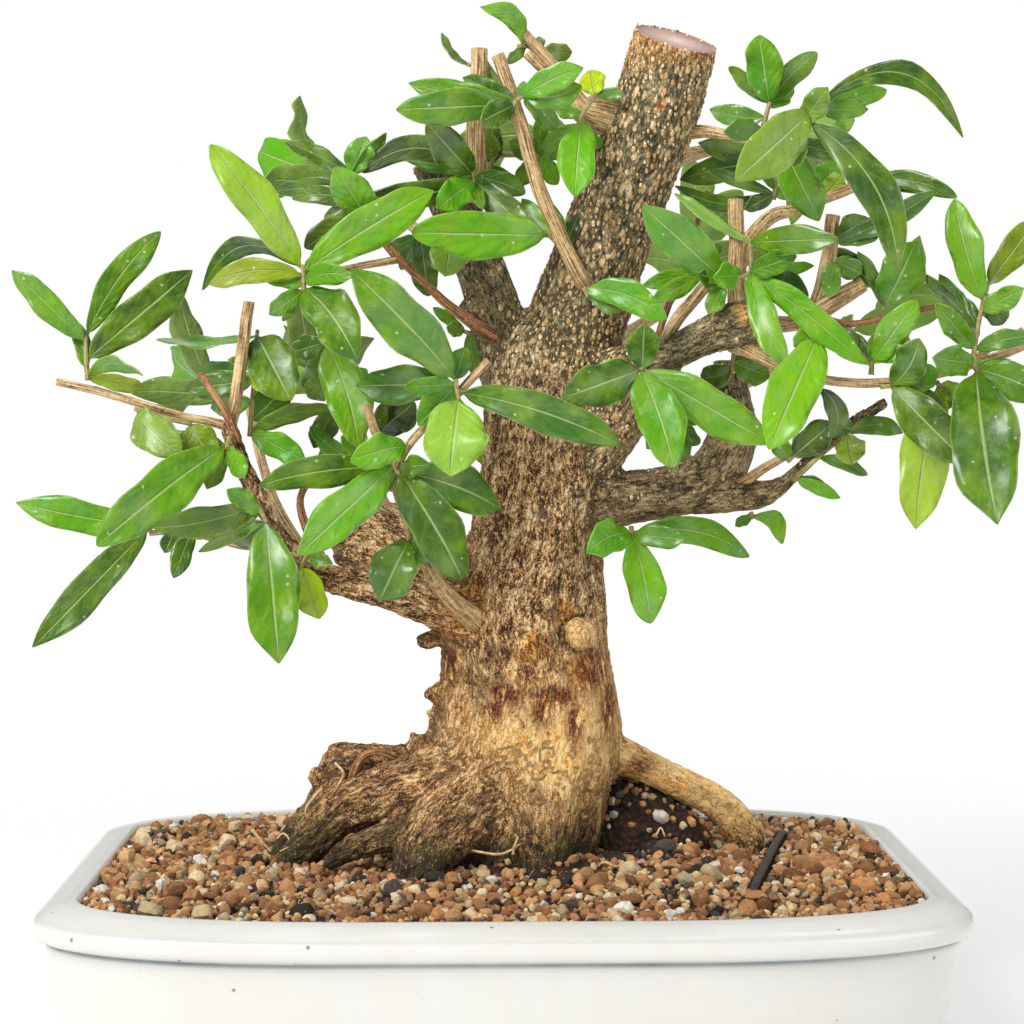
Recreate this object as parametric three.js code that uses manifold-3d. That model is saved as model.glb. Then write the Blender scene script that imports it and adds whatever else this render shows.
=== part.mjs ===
// Pomegranate bonsai in a glazed oval-cornered pot. Millimetres, +Z up.
// The origin is the middle of the pot's flat underside, +X is to the right and -Y to the front.
import * as THREE from 'three';
import Module from 'manifold-3d';

const wasm = await Module();
wasm.setup();

// ---------------------------------------------------------------- driving dimensions

const POT = {
  width: 310, depth: 225, height: 70,
  cornerX: 101, cornerY: 43, roundness: 2.2,
  wallInset: 13, innerFloor: 9,
  drainRadius: 10, drainX: 72,
};
const GAP = 0.3;
const SOIL = { edge: 67.5, moundHeight: 7.5, moundX: 78, moundY: 52, relief: 1.1, rings: 8 };
const SCREEN = { size: 34, thickness: 1.2, hole: 6, pitch: 9, holes: 3 };
const LEAF = { thickness: 1.3, fold: 0.16, wave: 0.07, spread: 0.32 };
const STEM_RADIUS = 1.0;

// The tree is laid out as it stands in its front elevation: x and z are read in the upright
// plane through the pot's middle, and y is how far behind (+) or before (-) that plane the
// point lies on its line of sight from this eye in front of the pot.
const EYE = new THREE.Vector3(-12.5, -796.5, 232.8);

function seen(x, z, y) {
  const inPlane = new THREE.Vector3(x, 0, z);
  return EYE.clone().lerp(inPlane, (y - EYE.y) / -EYE.y);
}

// ---------------------------------------------------------------- solids

// A manifold solid from points and triangles; triangles may be wound either way round.
function solidOf(points, triangles) {
  let volume = 0;
  for (const [a, b, c] of triangles) {
    volume += points[a].dot(points[b].clone().cross(points[c]));
  }
  const wound = volume > 0 ? triangles : triangles.map(([a, b, c]) => [a, c, b]);
  return new wasm.Manifold(new wasm.Mesh({
    numProp: 3,
    vertProperties: new Float32Array(points.flatMap((p) => [p.x, p.y, p.z])),
    triVerts: new Uint32Array(wound.flat()),
  }));
}

// A closed skin through rings of equally many points, each end closed by a fan.
function skin(rings) {
  const count = rings[0].length;
  const points = rings.flat();
  const triangles = [];
  for (let k = 0; k + 1 < rings.length; k += 1) {
    for (let i = 0; i < count; i += 1) {
      const j = (i + 1) % count;
      const [a, b] = [k * count + i, k * count + j];
      triangles.push([a, b, b + count], [a, b + count, a + count]);
    }
  }
  closeEnd(points, triangles, 0, count, false);
  closeEnd(points, triangles, (rings.length - 1) * count, count, true);
  return solidOf(points, triangles);
}

function closeEnd(points, triangles, first, count, isLast) {
  const middle = new THREE.Vector3();
  for (let i = 0; i < count; i += 1) {
    middle.addScaledVector(points[first + i], 1 / count);
  }
  points.push(middle);
  for (let i = 0; i < count; i += 1) {
    const edge = [first + i, first + (i + 1) % count];
    triangles.push(isLast ? [...edge, points.length - 1] : [...edge.reverse(), points.length - 1]);
  }
}

function joined(solids) {
  return wasm.Manifold.union(solids);
}

// Booleans can leave crumbs beside the piece itself: only its largest body is kept.
function largestBody(solid) {
  const bodies = solid.decompose();
  return bodies.reduce((best, body) => (body.volume() > best.volume() ? body : best));
}

function overlaps(one, other) {
  const [a, b] = [one.boundingBox(), other.boundingBox()];
  for (let axis = 0; axis < 3; axis += 1) {
    if (a.min[axis] > b.max[axis] || b.min[axis] > a.max[axis]) {
      return false;
    }
  }
  return one.intersect(other).volume() > 0.001;
}

function meshOf(name, solid, colour, roughness, metalness = 0) {
  const mesh = solid.getMesh();
  const geometry = new THREE.BufferGeometry();
  geometry.setAttribute('position', new THREE.Float32BufferAttribute(mesh.vertProperties, 3));
  geometry.setIndex(new THREE.BufferAttribute(mesh.triVerts, 1));
  geometry.computeVertexNormals();
  const material = new THREE.MeshStandardMaterial({ color: colour, roughness, metalness });
  const result = new THREE.Mesh(geometry, material);
  result.name = name;
  return result;
}

// Random numbers from 0 to 1 that come out alike every time.
function seededRandom(seed) {
  let state = seed;
  return () => {
    state = (state * 1664525 + 1013904223) % 4294967296;
    return state / 4294967296;
  };
}

// ---------------------------------------------------------------- pot

// The pot's outline seen from above, drawn in by an inset: straight sides and superellipse corners.
function potOutline(inset, z) {
  const halfX = POT.width / 2 - inset;
  const halfY = POT.depth / 2 - inset;
  const cornerY = POT.cornerY - inset / 4;
  const ring = [];
  const segments = 6;
  for (let quarter = 0; quarter < 4; quarter += 1) {
    for (let i = 0; i <= segments; i += 1) {
      const angle = (quarter + i / segments) * Math.PI / 2;
      const [c, s] = [Math.cos(angle), Math.sin(angle)];
      const x = Math.sign(c) * Math.abs(c) ** (2 / POT.roundness) * POT.cornerX;
      const y = Math.sign(s) * Math.abs(s) ** (2 / POT.roundness) * cornerY;
      const [sideX, sideY] = [quarter % 3 === 0 ? 1 : -1, quarter < 2 ? 1 : -1];
      ring.push(new THREE.Vector3(
        x + sideX * (halfX - POT.cornerX),
        y + sideY * (halfY - cornerY),
        z,
      ));
    }
  }
  return ring;
}

function potSolid() {
  const top = POT.height;
  const outside = [
    [27, 0], [22, 3], [15, 14], [9.5, 31], [5.2, 50], [3.6, top - 12], [3, top - 11.2],
    [0.4, top - 9.4], [0, top - 6.5], [1.2, top - 3.8], [11, top], [POT.wallInset, top],
  ];
  const inside = [
    [POT.wallInset, top + 1], [POT.wallInset, top - 1.5], [POT.wallInset + 1.5, top - 12],
    [20, 26], [27, POT.innerFloor + 3], [32, POT.innerFloor],
  ];
  const drain = new THREE.CylinderGeometry(POT.drainRadius, POT.drainRadius, 30, 16);
  drain.rotateX(Math.PI / 2);
  return skin(outside.map(([inset, z]) => potOutline(inset, z)))
    .subtract(skin(inside.map(([inset, z]) => potOutline(inset, z))))
    .subtract(primitive(drain.clone().translate(POT.drainX, 0, 0)))
    .subtract(primitive(drain.clone().translate(-POT.drainX, 0, 0)));
}

// A three.js primitive as a solid: equal corners are merged first.
function primitive(geometry) {
  const position = geometry.getAttribute('position');
  const places = new Map();
  const points = [];
  const corner = [];
  for (let i = 0; i < position.count; i += 1) {
    const point = new THREE.Vector3().fromBufferAttribute(position, i);
    const key = point.toArray().map((value) => value.toFixed(4)).join();
    if (!places.has(key)) {
      places.set(key, points.length);
      points.push(point);
    }
    corner.push(places.get(key));
  }
  const index = geometry.index.array;
  const triangles = [];
  for (let i = 0; i < index.length; i += 3) {
    const face = [corner[index[i]], corner[index[i + 1]], corner[index[i + 2]]];
    if (new Set(face).size === 3) {
      triangles.push(face);
    }
  }
  return solidOf(points, triangles);
}

// A plastic screen with square holes lies over each drain hole and holds the soil back.
function drainScreen(x) {
  const z = POT.innerFloor + GAP + SCREEN.thickness / 2;
  const plate = new THREE.BoxGeometry(SCREEN.size, SCREEN.size, SCREEN.thickness);
  let screen = primitive(plate.translate(x, 0, z));
  for (let column = 0; column < SCREEN.holes; column += 1) {
    for (let row = 0; row < SCREEN.holes; row += 1) {
      const hole = new THREE.BoxGeometry(SCREEN.hole, SCREEN.hole, 10);
      const offset = (SCREEN.holes - 1) / 2;
      hole.translate(x + (column - offset) * SCREEN.pitch, (row - offset) * SCREEN.pitch, z);
      screen = screen.subtract(primitive(hole));
    }
  }
  return screen;
}

// ---------------------------------------------------------------- wood

// A round tube through points, with a radius at each of them.
function tube(points, radii, sides) {
  const curve = new THREE.CatmullRomCurve3(points, false, 'centripetal');
  let side = new THREE.Vector3(0.31, 0.89, 0.33);
  const rings = points.map((point, k) => {
    const along = curve.getTangent(k / (points.length - 1));
    side = side.clone().addScaledVector(along, -side.dot(along)).normalize();
    const up = along.clone().cross(side);
    const ring = [];
    for (let i = 0; i < sides; i += 1) {
      const angle = i * 2 * Math.PI / sides;
      ring.push(point.clone()
        .addScaledVector(side, radii[k] * Math.cos(angle))
        .addScaledVector(up, radii[k] * Math.sin(angle)));
    }
    return ring;
  });
  return skin(rings);
}

// A limb through [x, z, y, radius] stations of the front elevation.
function limb(stations, sides, grown = 0) {
  return tube(
    stations.map(([x, z, y]) => seen(x, z, y)),
    stations.map((station) => station[3] + grown),
    sides,
  );
}

// The trunk's left and right edge and its half depth at each height.
const TRUNK = [
  [24, -8, 8, 8], [58, -26, 25, 24], [74, -36, 35, 32], [90, -31.5, 38, 32],
  [104, -29.3, 42, 31], [118, -26.5, 43.5, 29], [132, -22, 41.5, 28], [146, -21.5, 38.8, 27],
  [158, -23, 38, 27], [170, -19, 36.5, 27], [184, -12, 35.5, 26.5], [204, -8, 36, 26],
  [224, -7, 37.5, 24], [244, -6, 41, 22], [258, -3, 42, 18], [264, 6, 39, 15],
];

function trunkColumn(grown) {
  const sides = 18;
  const rings = TRUNK.map(([z, left, right, halfDepth]) => {
    const halfWidth = (right - left) / 2;
    const ring = [];
    for (let i = 0; i < sides; i += 1) {
      const angle = i * 2 * Math.PI / sides;
      const flute = 1 + 0.035 * Math.sin(5 * angle + z / 23) + 0.02 * Math.sin(9 * angle - z / 14);
      const depth = (halfDepth * flute + grown) * Math.sin(angle);
      const across = (halfWidth + grown) * Math.cos(angle);
      ring.push(new THREE.Vector3((left + right) / 2 + across, depth, z));
    }
    return ring;
  });
  return skin(rings);
}

// Everything as [x, z, y, radius] from its root outwards.
const ROOTS = [
  // the great left root, in front of the broken one
  [[-8, 106, -6, 15], [-24, 98, -12, 13], [-42, 93, -14, 11], [-57, 87, -13, 9.5], [-70, 75, -9, 7.5],
    [-80, 62, -4, 4]],
  // the broken root behind it, with its ragged end
  [[-16, 103, 6, 9], [-34, 103, 12, 8], [-50, 104, 14, 8], [-61, 105, 15, 7.5], [-64, 106, 15, 5]],
  [[-54, 104, 14, 5], [-64, 100, 14, 5], [-69, 97, 13, 3]],
  [[-58, 98, 14, 7], [-68, 88, 12, 5], [-76, 78, 10, 4.5], [-84, 66, 8, 3]],
  // the front foot and its neighbours
  [[-2, 98, -14, 17], [-14, 86, -24, 14], [-24, 77, -31, 12], [-32, 64, -37, 8], [-38, 52, -40, 3]],
  [[12, 96, -14, 18], [14, 84, -24, 14], [14, 72, -30, 11], [16, 58, -34, 6]],
  [[-30, 84, -22, 7], [-42, 78, -30, 5.5], [-54, 74, -32, 5], [-64, 66, -30, 3.2]],
  // the bare right root, arched clear of the soil before it dives
  [[26, 114, 0, 9], [40, 108, 2, 7.5], [52, 103, 5, 6.4], [64, 97, 9, 6.2], [75, 91.5, 13, 6.2],
    [83, 85, 16, 6.3], [89.5, 75, 18, 6], [92, 62, 19, 3.5]],
  // feet behind the trunk
  [[10, 100, 14, 16], [24, 86, 28, 12], [34, 72, 42, 9], [44, 58, 54, 4]],
  [[-6, 100, 14, 15], [-22, 86, 30, 11], [-32, 72, 44, 8], [-42, 58, 54, 3.5]],
  // roots that run on through the soil
  [[-10, 56, -8, 9], [-84, 36, -34, 1.5]],
  [[10, 56, 8, 9], [90, 34, 40, 1.5]],
];

const LIMBS = [
  // the leader, leaning to the right and forward to its sawn top
  [[18, 232, 2, 18], [24, 254, 0, 18], [34.5, 285, -5, 16.3], [48, 320, -11, 15.3],
    [56, 342, -15, 15.2], [64, 370, -20, 14.6]],
  // the upper left limb, sawn off and hollow at its end
  [[8, 232, 2, 13], [0, 258, -1, 10.5], [-6, 278, -3, 9], [-14, 297, -4, 8.6], [-24, 321, -5, 8.7]],
  // the great sawn stub at the left
  [[-2, 160, 0, 18], [-18, 170, 2, 16.5], [-34, 180, 4, 15], [-51, 190, 5, 14.6]],
  // the low left limb
  [[-14, 158, -14, 10], [-32, 164, -20, 7.5], [-50, 168, -22, 5.6], [-66, 173, -24, 4.6],
    [-76, 182, -26, 3.6], [-83, 192, -28, 3.2], [-90, 207, -29, 3.1], [-96, 221, -30, 3.2],
    [-98, 228, -30, 2.8]],
  // the upper right limb and its knuckle
  [[30, 240, -8, 9], [47, 248.5, -18, 6.6], [60, 251.5, -23, 6.2], [74, 258, -27, 6.6],
    [85, 262, -29, 8.8], [93, 263.5, -30, 7.4]],
  // the lower right limb, turning up to its sawn end
  [[24, 196, -2, 12], [44, 200, -6, 9.6], [58, 202, -8, 9.2], [70, 204.5, -8, 9.4], [79, 212, -4, 9.3],
    [83.5, 225, 1, 8.4], [82, 240, 6, 6.6], [82, 250, 8, 6]],
  [[72, 201, -9, 7], [84, 201, -11, 6], [93, 201, -13, 5.2], [100, 204, -15, 3.6], [107, 210, -17, 2.5],
    [116, 218.5, -18, 2.4], [126, 226.5, -19, 2.3], [138.5, 234.5, -20, 2.2]],
];

const TWIGS = [
  // left side
  [[-97, 226, -30, 2.4], [-94.5, 238, -30, 2.2], [-92, 256, -30, 2.1], [-90, 270, -30, 2]],
  [[-96, 225, -30, 2], [-105, 227.5, -30, 1.5], [-113, 229, -30, 1.4], [-130, 234, -30, 1.4],
    [-147, 239, -30, 1.4], [-158.5, 241.5, -30, 1.3]],
  [[-94.5, 220, -32, 1.8], [-98.5, 230, -34.5, 1.4], [-107.5, 244.5, -37, 1.2]],
  [[-79, 187, -27, 1.8], [-90, 182.5, -22, 1.2], [-103, 185.5, -22, 1.2], [-115, 188, -22, 1.1],
    [-126, 187.5, -22, 1]],
  [[-62, 172, -22, 2.4], [-72, 197, -10, 1.4], [-66, 211, -5, 1.2], [-59.5, 229, -2, 1.1]],
  [[-10, 156, -20, 5], [-17, 162, -30, 3.4], [-24, 171, -37, 2.6], [-30, 183, -40, 2.2],
    [-35.5, 198, -41, 2.1], [-39, 209, -42, 2], [-44, 221, -43, 1.7], [-48.5, 233.5, -44, 1.5]],
  [[-38, 207, -41.5, 1.7], [-34, 218, -43, 1.5], [-19, 234, -43, 1.5], [-4.5, 249, -43, 1.6]],
  [[-2, 257, -8, 3], [-10.5, 262.5, -16, 2.2], [-22, 271.5, -20, 1.6], [-32, 281, -23, 1.5],
    [-38, 286.5, -25, 1.5], [-43, 292, -27, 1.2]],
  [[-36.5, 285, -24.5, 1.4], [-56, 281.5, -33, 1.3], [-70, 278, -38, 1.3], [-78.5, 276.5, -40, 1.4]],
  // top
  [[-18, 300, -4, 4], [-10, 310, -9, 4], [-9.2, 320, -14, 3.8], [-9.2, 332, -15, 3.3],
    [-8.6, 345, -16, 3], [-7.8, 359.5, -16, 2.9]],
  [[31, 276, -16, 3.6], [28, 279, -23, 2.9], [20, 295, -27, 2.6], [12.5, 313, -30, 2.5],
    [7.5, 331, -32, 2.5], [3, 345, -33, 2.3], [-1.5, 357.5, -34, 2.3]],
  [[44, 334, -12, 7], [34, 337, -16, 6.8], [28, 339, -18, 4.5], [24, 347, -18, 2.3],
    [19, 353, -18, 2.2], [10, 363, -18, 1.9], [1, 373, -18, 1.8]],
  [[20, 349.5, -18, 2.2], [16, 351.5, -18.5, 1.9], [9, 358, -19.5, 1.8]],
  [[62, 330.5, -14, 3.4], [72, 330.5, -18, 2.3], [82, 329, -24, 2], [98, 326, -38, 1.5],
    [104, 331, -45, 1.4], [111, 338, -50, 1.3]],
  // right side
  [[50, 250, -20, 3], [57, 255, -21, 2.4], [64, 265, -19, 2.3], [74.5, 278, -16, 2.2]],
  [[48, 249, -16, 2], [54, 253, -9, 1.3], [60, 270, -2, 1.2], [67, 289, 4, 1.1], [73.5, 309, 8, 1.1]],
  [[46, 247, -19, 1.6], [49.5, 244.5, -24, 1.2], [55, 238, -26, 1], [61, 231.5, -26, 1]],
  [[85, 264, -29, 4], [84, 275, -28, 3.2], [84, 290, -28, 2.8], [83.5, 306.5, -28, 2.8]],
  [[84, 276, -25, 3], [86.5, 289, -15, 2.5], [96, 300, -7, 2.6], [107, 303.5, -3, 2],
    [129.5, 312.5, 1, 2]],
  [[90, 263, -30, 4], [103, 262, -32, 2.8], [112, 266.5, -32, 4], [129.5, 276.5, -32, 2.7]],
  [[110, 263, -32, 2.6], [114, 272, -31, 2.9], [117, 287, -30, 2.5], [118.5, 301, -30, 2.5]],
  [[110, 265, -32, 2.4], [124, 262.3, -30, 1.3], [137, 264.5, -29, 1.2], [148, 267, -28, 1.1],
    [162, 269, -27, 0.9]],
  [[84, 256, -28, 4.5], [93, 250.5, -32, 2.6], [100, 247, -35, 2], [115, 242.5, -37, 1.7],
    [133, 241, -39, 1.6], [150, 243, -40, 1.6], [165, 246.5, -41, 1.7], [180, 251.5, -41, 1.6],
    [192, 256.5, -41, 1.5]],
  [[166, 247, -40, 1.5], [176, 254, -37, 1.2], [187, 260, -35, 1.2]],
  [[80, 201, -11, 3], [92, 209, -15, 1.8], [103, 215.5, -17, 1.5]],
  // twigs on the far side
  [[-34, 182, 8, 6], [-42, 196, 28, 3], [-48, 214, 44, 2.2], [-52, 232, 56, 1.7]],
  [[-8, 280, 0, 4], [-22, 290, 16, 2.4], [-36, 300, 32, 1.9], [-46, 308, 48, 1.5]],
  [[44, 300, -6, 7], [40, 308, 18, 3], [30, 318, 34, 2.2], [22, 330, 46, 1.7]],
  [[50, 316, -8, 7], [66, 322, 14, 3], [82, 326, 32, 2.2], [94, 330, 48, 1.6]],
  [[34, 250, 0, 7], [44, 258, 22, 3], [56, 266, 42, 2.3], [64, 276, 58, 1.7]],
  [[80, 238, 4, 4], [92, 244, 20, 2.4], [106, 250, 36, 2], [118, 256, 50, 1.5]],
  [[-70, 178, -22, 3], [-80, 196, -2, 2], [-86, 214, 16, 1.7], [-90, 232, 30, 1.4]],
];

// Healed knobs and bark nubs, as [x, z, y, radius].
const KNOBS = [
  [28.3, 151, -25, 5.6], [10, 146, -26.5, 4.2], [-27, 152, -4, 3.6], [-24.5, 133, -6, 3.4],
  [-27, 124, -6, 3], [-31, 116, -8, 2.6], [66, 212, -14, 4], [-11, 267, -9, 4.6], [40, 208, -18, 6],
];

// The hollow at the end of the upper left limb.
const HOLLOW = [[-17, 306, -4.4, 3.4], [-21.5, 315, -4.8, 5.6], [-26, 326, -5.2, 6.4]];
const SIDES = { root: 7, limb: 8, twig: 4, hollow: 10 };

function woodSolid(grown) {
  const knobs = KNOBS.map(([x, z, y, radius]) => {
    const ball = new THREE.IcosahedronGeometry(radius + grown, radius > 5 ? 1 : 0);
    const place = seen(x, z, y);
    return primitive(indexed(ball.translate(place.x, place.y, place.z)));
  });
  const solid = joined([
    trunkColumn(grown),
    ...ROOTS.map((root) => limb(root, SIDES.root, grown)),
    ...LIMBS.map((branch) => limb(branch, SIDES.limb, grown)),
    ...TWIGS.map((twig) => limb(twig, SIDES.twig, grown)),
    ...knobs,
  ]);
  return sawnTop(solid).subtract(limb(HOLLOW, SIDES.hollow));
}

function indexed(geometry) {
  geometry.setIndex([...Array(geometry.getAttribute('position').count).keys()]);
  return geometry;
}

// The leader is sawn across a little more level than its own axis.
function sawnTop(solid) {
  const height = seen(62.5, 363, -19);
  const blade = new THREE.Vector3(0.24, -0.36, 0.9).normalize();
  const saw = new THREE.BoxGeometry(60, 60, 30).translate(0, 0, 15);
  saw.applyQuaternion(new THREE.Quaternion()
    .setFromUnitVectors(new THREE.Vector3(0, 0, 1), blade));
  return solid.subtract(primitive(saw.translate(height.x, height.y, height.z)));
}

// ---------------------------------------------------------------- soil

// Granule relief: bumps of about a cell's size that never repeat.
function relief(x, y) {
  const tumble = Math.sin(x * 12.9898 + y * 78.233) * 43758.5453;
  return (tumble - Math.floor(tumble) - 0.5) * 2 * SOIL.relief;
}

function soilHeight(x, y) {
  const mound = SOIL.moundHeight * Math.exp(-((x / SOIL.moundX) ** 2) - (y / SOIL.moundY) ** 2);
  const humus = 12 * Math.exp(-(((x - 55) / 13) ** 2) - ((y - 24) / 12) ** 2);
  return SOIL.edge + mound + humus;
}

// Soil fills the pot's inside; its rough top is drawn in rings round the middle.
function soilSolid(wood, tie) {
  const inside = [
    [32, POT.innerFloor + GAP], [27, POT.innerFloor + 3 + GAP], [20, 26],
    [POT.wallInset + 1.5, POT.height - 12],
  ];
  const rings = inside.map(([inset, z]) => potOutline(inset + GAP, z));
  const rim = potOutline(POT.wallInset + 1 + GAP, 0);
  for (let k = SOIL.rings; k > 0; k -= 1) {
    const scale = k / SOIL.rings;
    rings.push(rim.map(({ x, y }, i) => new THREE.Vector3(
      x * scale, y * scale, soilHeight(x * scale, y * scale) + relief(i, k))));
  }
  const recesses = [-POT.drainX, POT.drainX].map((x) => primitive(new THREE.BoxGeometry(
    SCREEN.size + 2 * GAP, SCREEN.size + 2 * GAP, 2 * (SCREEN.thickness + 2 * GAP),
  ).translate(x, 0, POT.innerFloor)));
  return largestBody(joined([skin(rings), ...pebbles()]).subtract(joined([wood, tie, ...recesses])));
}

// The larger pebbles lie half sunk in the granules, each a small tilted stone.
const PEBBLES = { count: 12, smallest: 2.4, spread: 1.6, length: 1.25, width: 0.9, height: 0.8 };
const PEBBLE_FIELD = { x: 250, y: 172, proud: 0.6 };

function pebbles() {
  const random = seededRandom(11);
  const stones = [];
  while (stones.length < PEBBLES.count) {
    const x = (random() - 0.5) * PEBBLE_FIELD.x;
    const y = (random() - 0.5) * PEBBLE_FIELD.y;
    const radius = PEBBLES.smallest + PEBBLES.spread * random();
    const stone = new THREE.IcosahedronGeometry(radius, 0);
    stone.scale(PEBBLES.length, PEBBLES.width, PEBBLES.height);
    stone.rotateX(random() * Math.PI);
    stone.rotateZ(random() * 2 * Math.PI);
    stone.translate(x, y, soilHeight(x, y) + PEBBLE_FIELD.proud);
    stones.push(primitive(indexed(stone)));
  }
  return stones;
}

// A black sheathed tie lies half sunk across the soil at the right, its ends bent down into it.
const TIE = {
  radius: 1.5,
  route: [
    [110, 57, 54], [109.5, 52, 65], [108, 45, 69.6], [101.5, 18, 70.8], [94, -13, 70.8],
    [86.5, -44, 70], [84, -53, 68.6], [82.5, -58, 62], [82, -61, 52],
  ],
};

function tieSolid(grown) {
  const points = TIE.route.map((place) => new THREE.Vector3(...place));
  return tube(points, points.map(() => TIE.radius + grown), 8);
}

// ---------------------------------------------------------------- leafy shoots

// A blade from base to tip with a rib along its underside and waved edges, its quadrilaterals
// split alike on both faces. Its middle is moved sideways by bow and towards the facing
// direction by arch, and it is rolled about its own length.
function blade(base, tip, facing, { width, bow = 0, arch = 0, roll = 0, grown = 0 }) {
  const span = tip.clone().sub(base);
  const across0 = facing.clone().cross(span).normalize();
  const face0 = span.clone().cross(across0).normalize();
  const turn = THREE.MathUtils.degToRad(roll);
  const across = across0.clone().multiplyScalar(Math.cos(turn)).addScaledVector(face0, Math.sin(turn));
  const face = face0.clone().multiplyScalar(Math.cos(turn)).addScaledVector(across0, -Math.sin(turn));
  const stations = bladeStations(span.length());
  const points = [base, tip];
  for (const t of stations) {
    const middle = base.clone().addScaledVector(span, t)
      .addScaledVector(across0, bow * 4 * t * (1 - t))
      .addScaledVector(face0, arch * 4 * t * (1 - t));
    const reach = width / 2 * bladeOutline(t);
    const lift = LEAF.fold * reach + grown;
    const wave = LEAF.wave * width * Math.sin(9 * t + width);
    points.push(
      middle.clone().addScaledVector(across, reach + grown).addScaledVector(face, lift + wave),
      middle.clone().addScaledVector(across, -reach - grown).addScaledVector(face, lift - wave),
      middle.clone().addScaledVector(face, lift - LEAF.fold * reach - LEAF.thickness - 2 * grown),
    );
  }
  return solidOf(points, bladeTriangles(stations.length));
}

function bladeStations(length) {
  if (length < 14) {
    return [0.45];
  }
  return length < 33 ? [0.28, 0.7] : [0.2, 0.5, 0.8];
}

function bladeOutline(t) {
  const place = 2 * t ** 1.15 - 1;
  return (1 - place * place) ** 0.75;
}

function bladeTriangles(count) {
  const [base, tip] = [0, 1];
  const triangles = [];
  for (let k = 0; k + 1 < count; k += 1) {
    for (let i = 0; i < 3; i += 1) {
      const [a, b] = [2 + 3 * k + i, 2 + 3 * k + (i + 1) % 3];
      triangles.push([a, b, b + 3], [a, b + 3, a + 3]);
    }
  }
  const last = 2 + 3 * (count - 1);
  for (let i = 0; i < 3; i += 1) {
    const j = (i + 1) % 3;
    triangles.push([base, 2 + j, 2 + i], [tip, last + i, last + j]);
  }
  return triangles;
}

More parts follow.
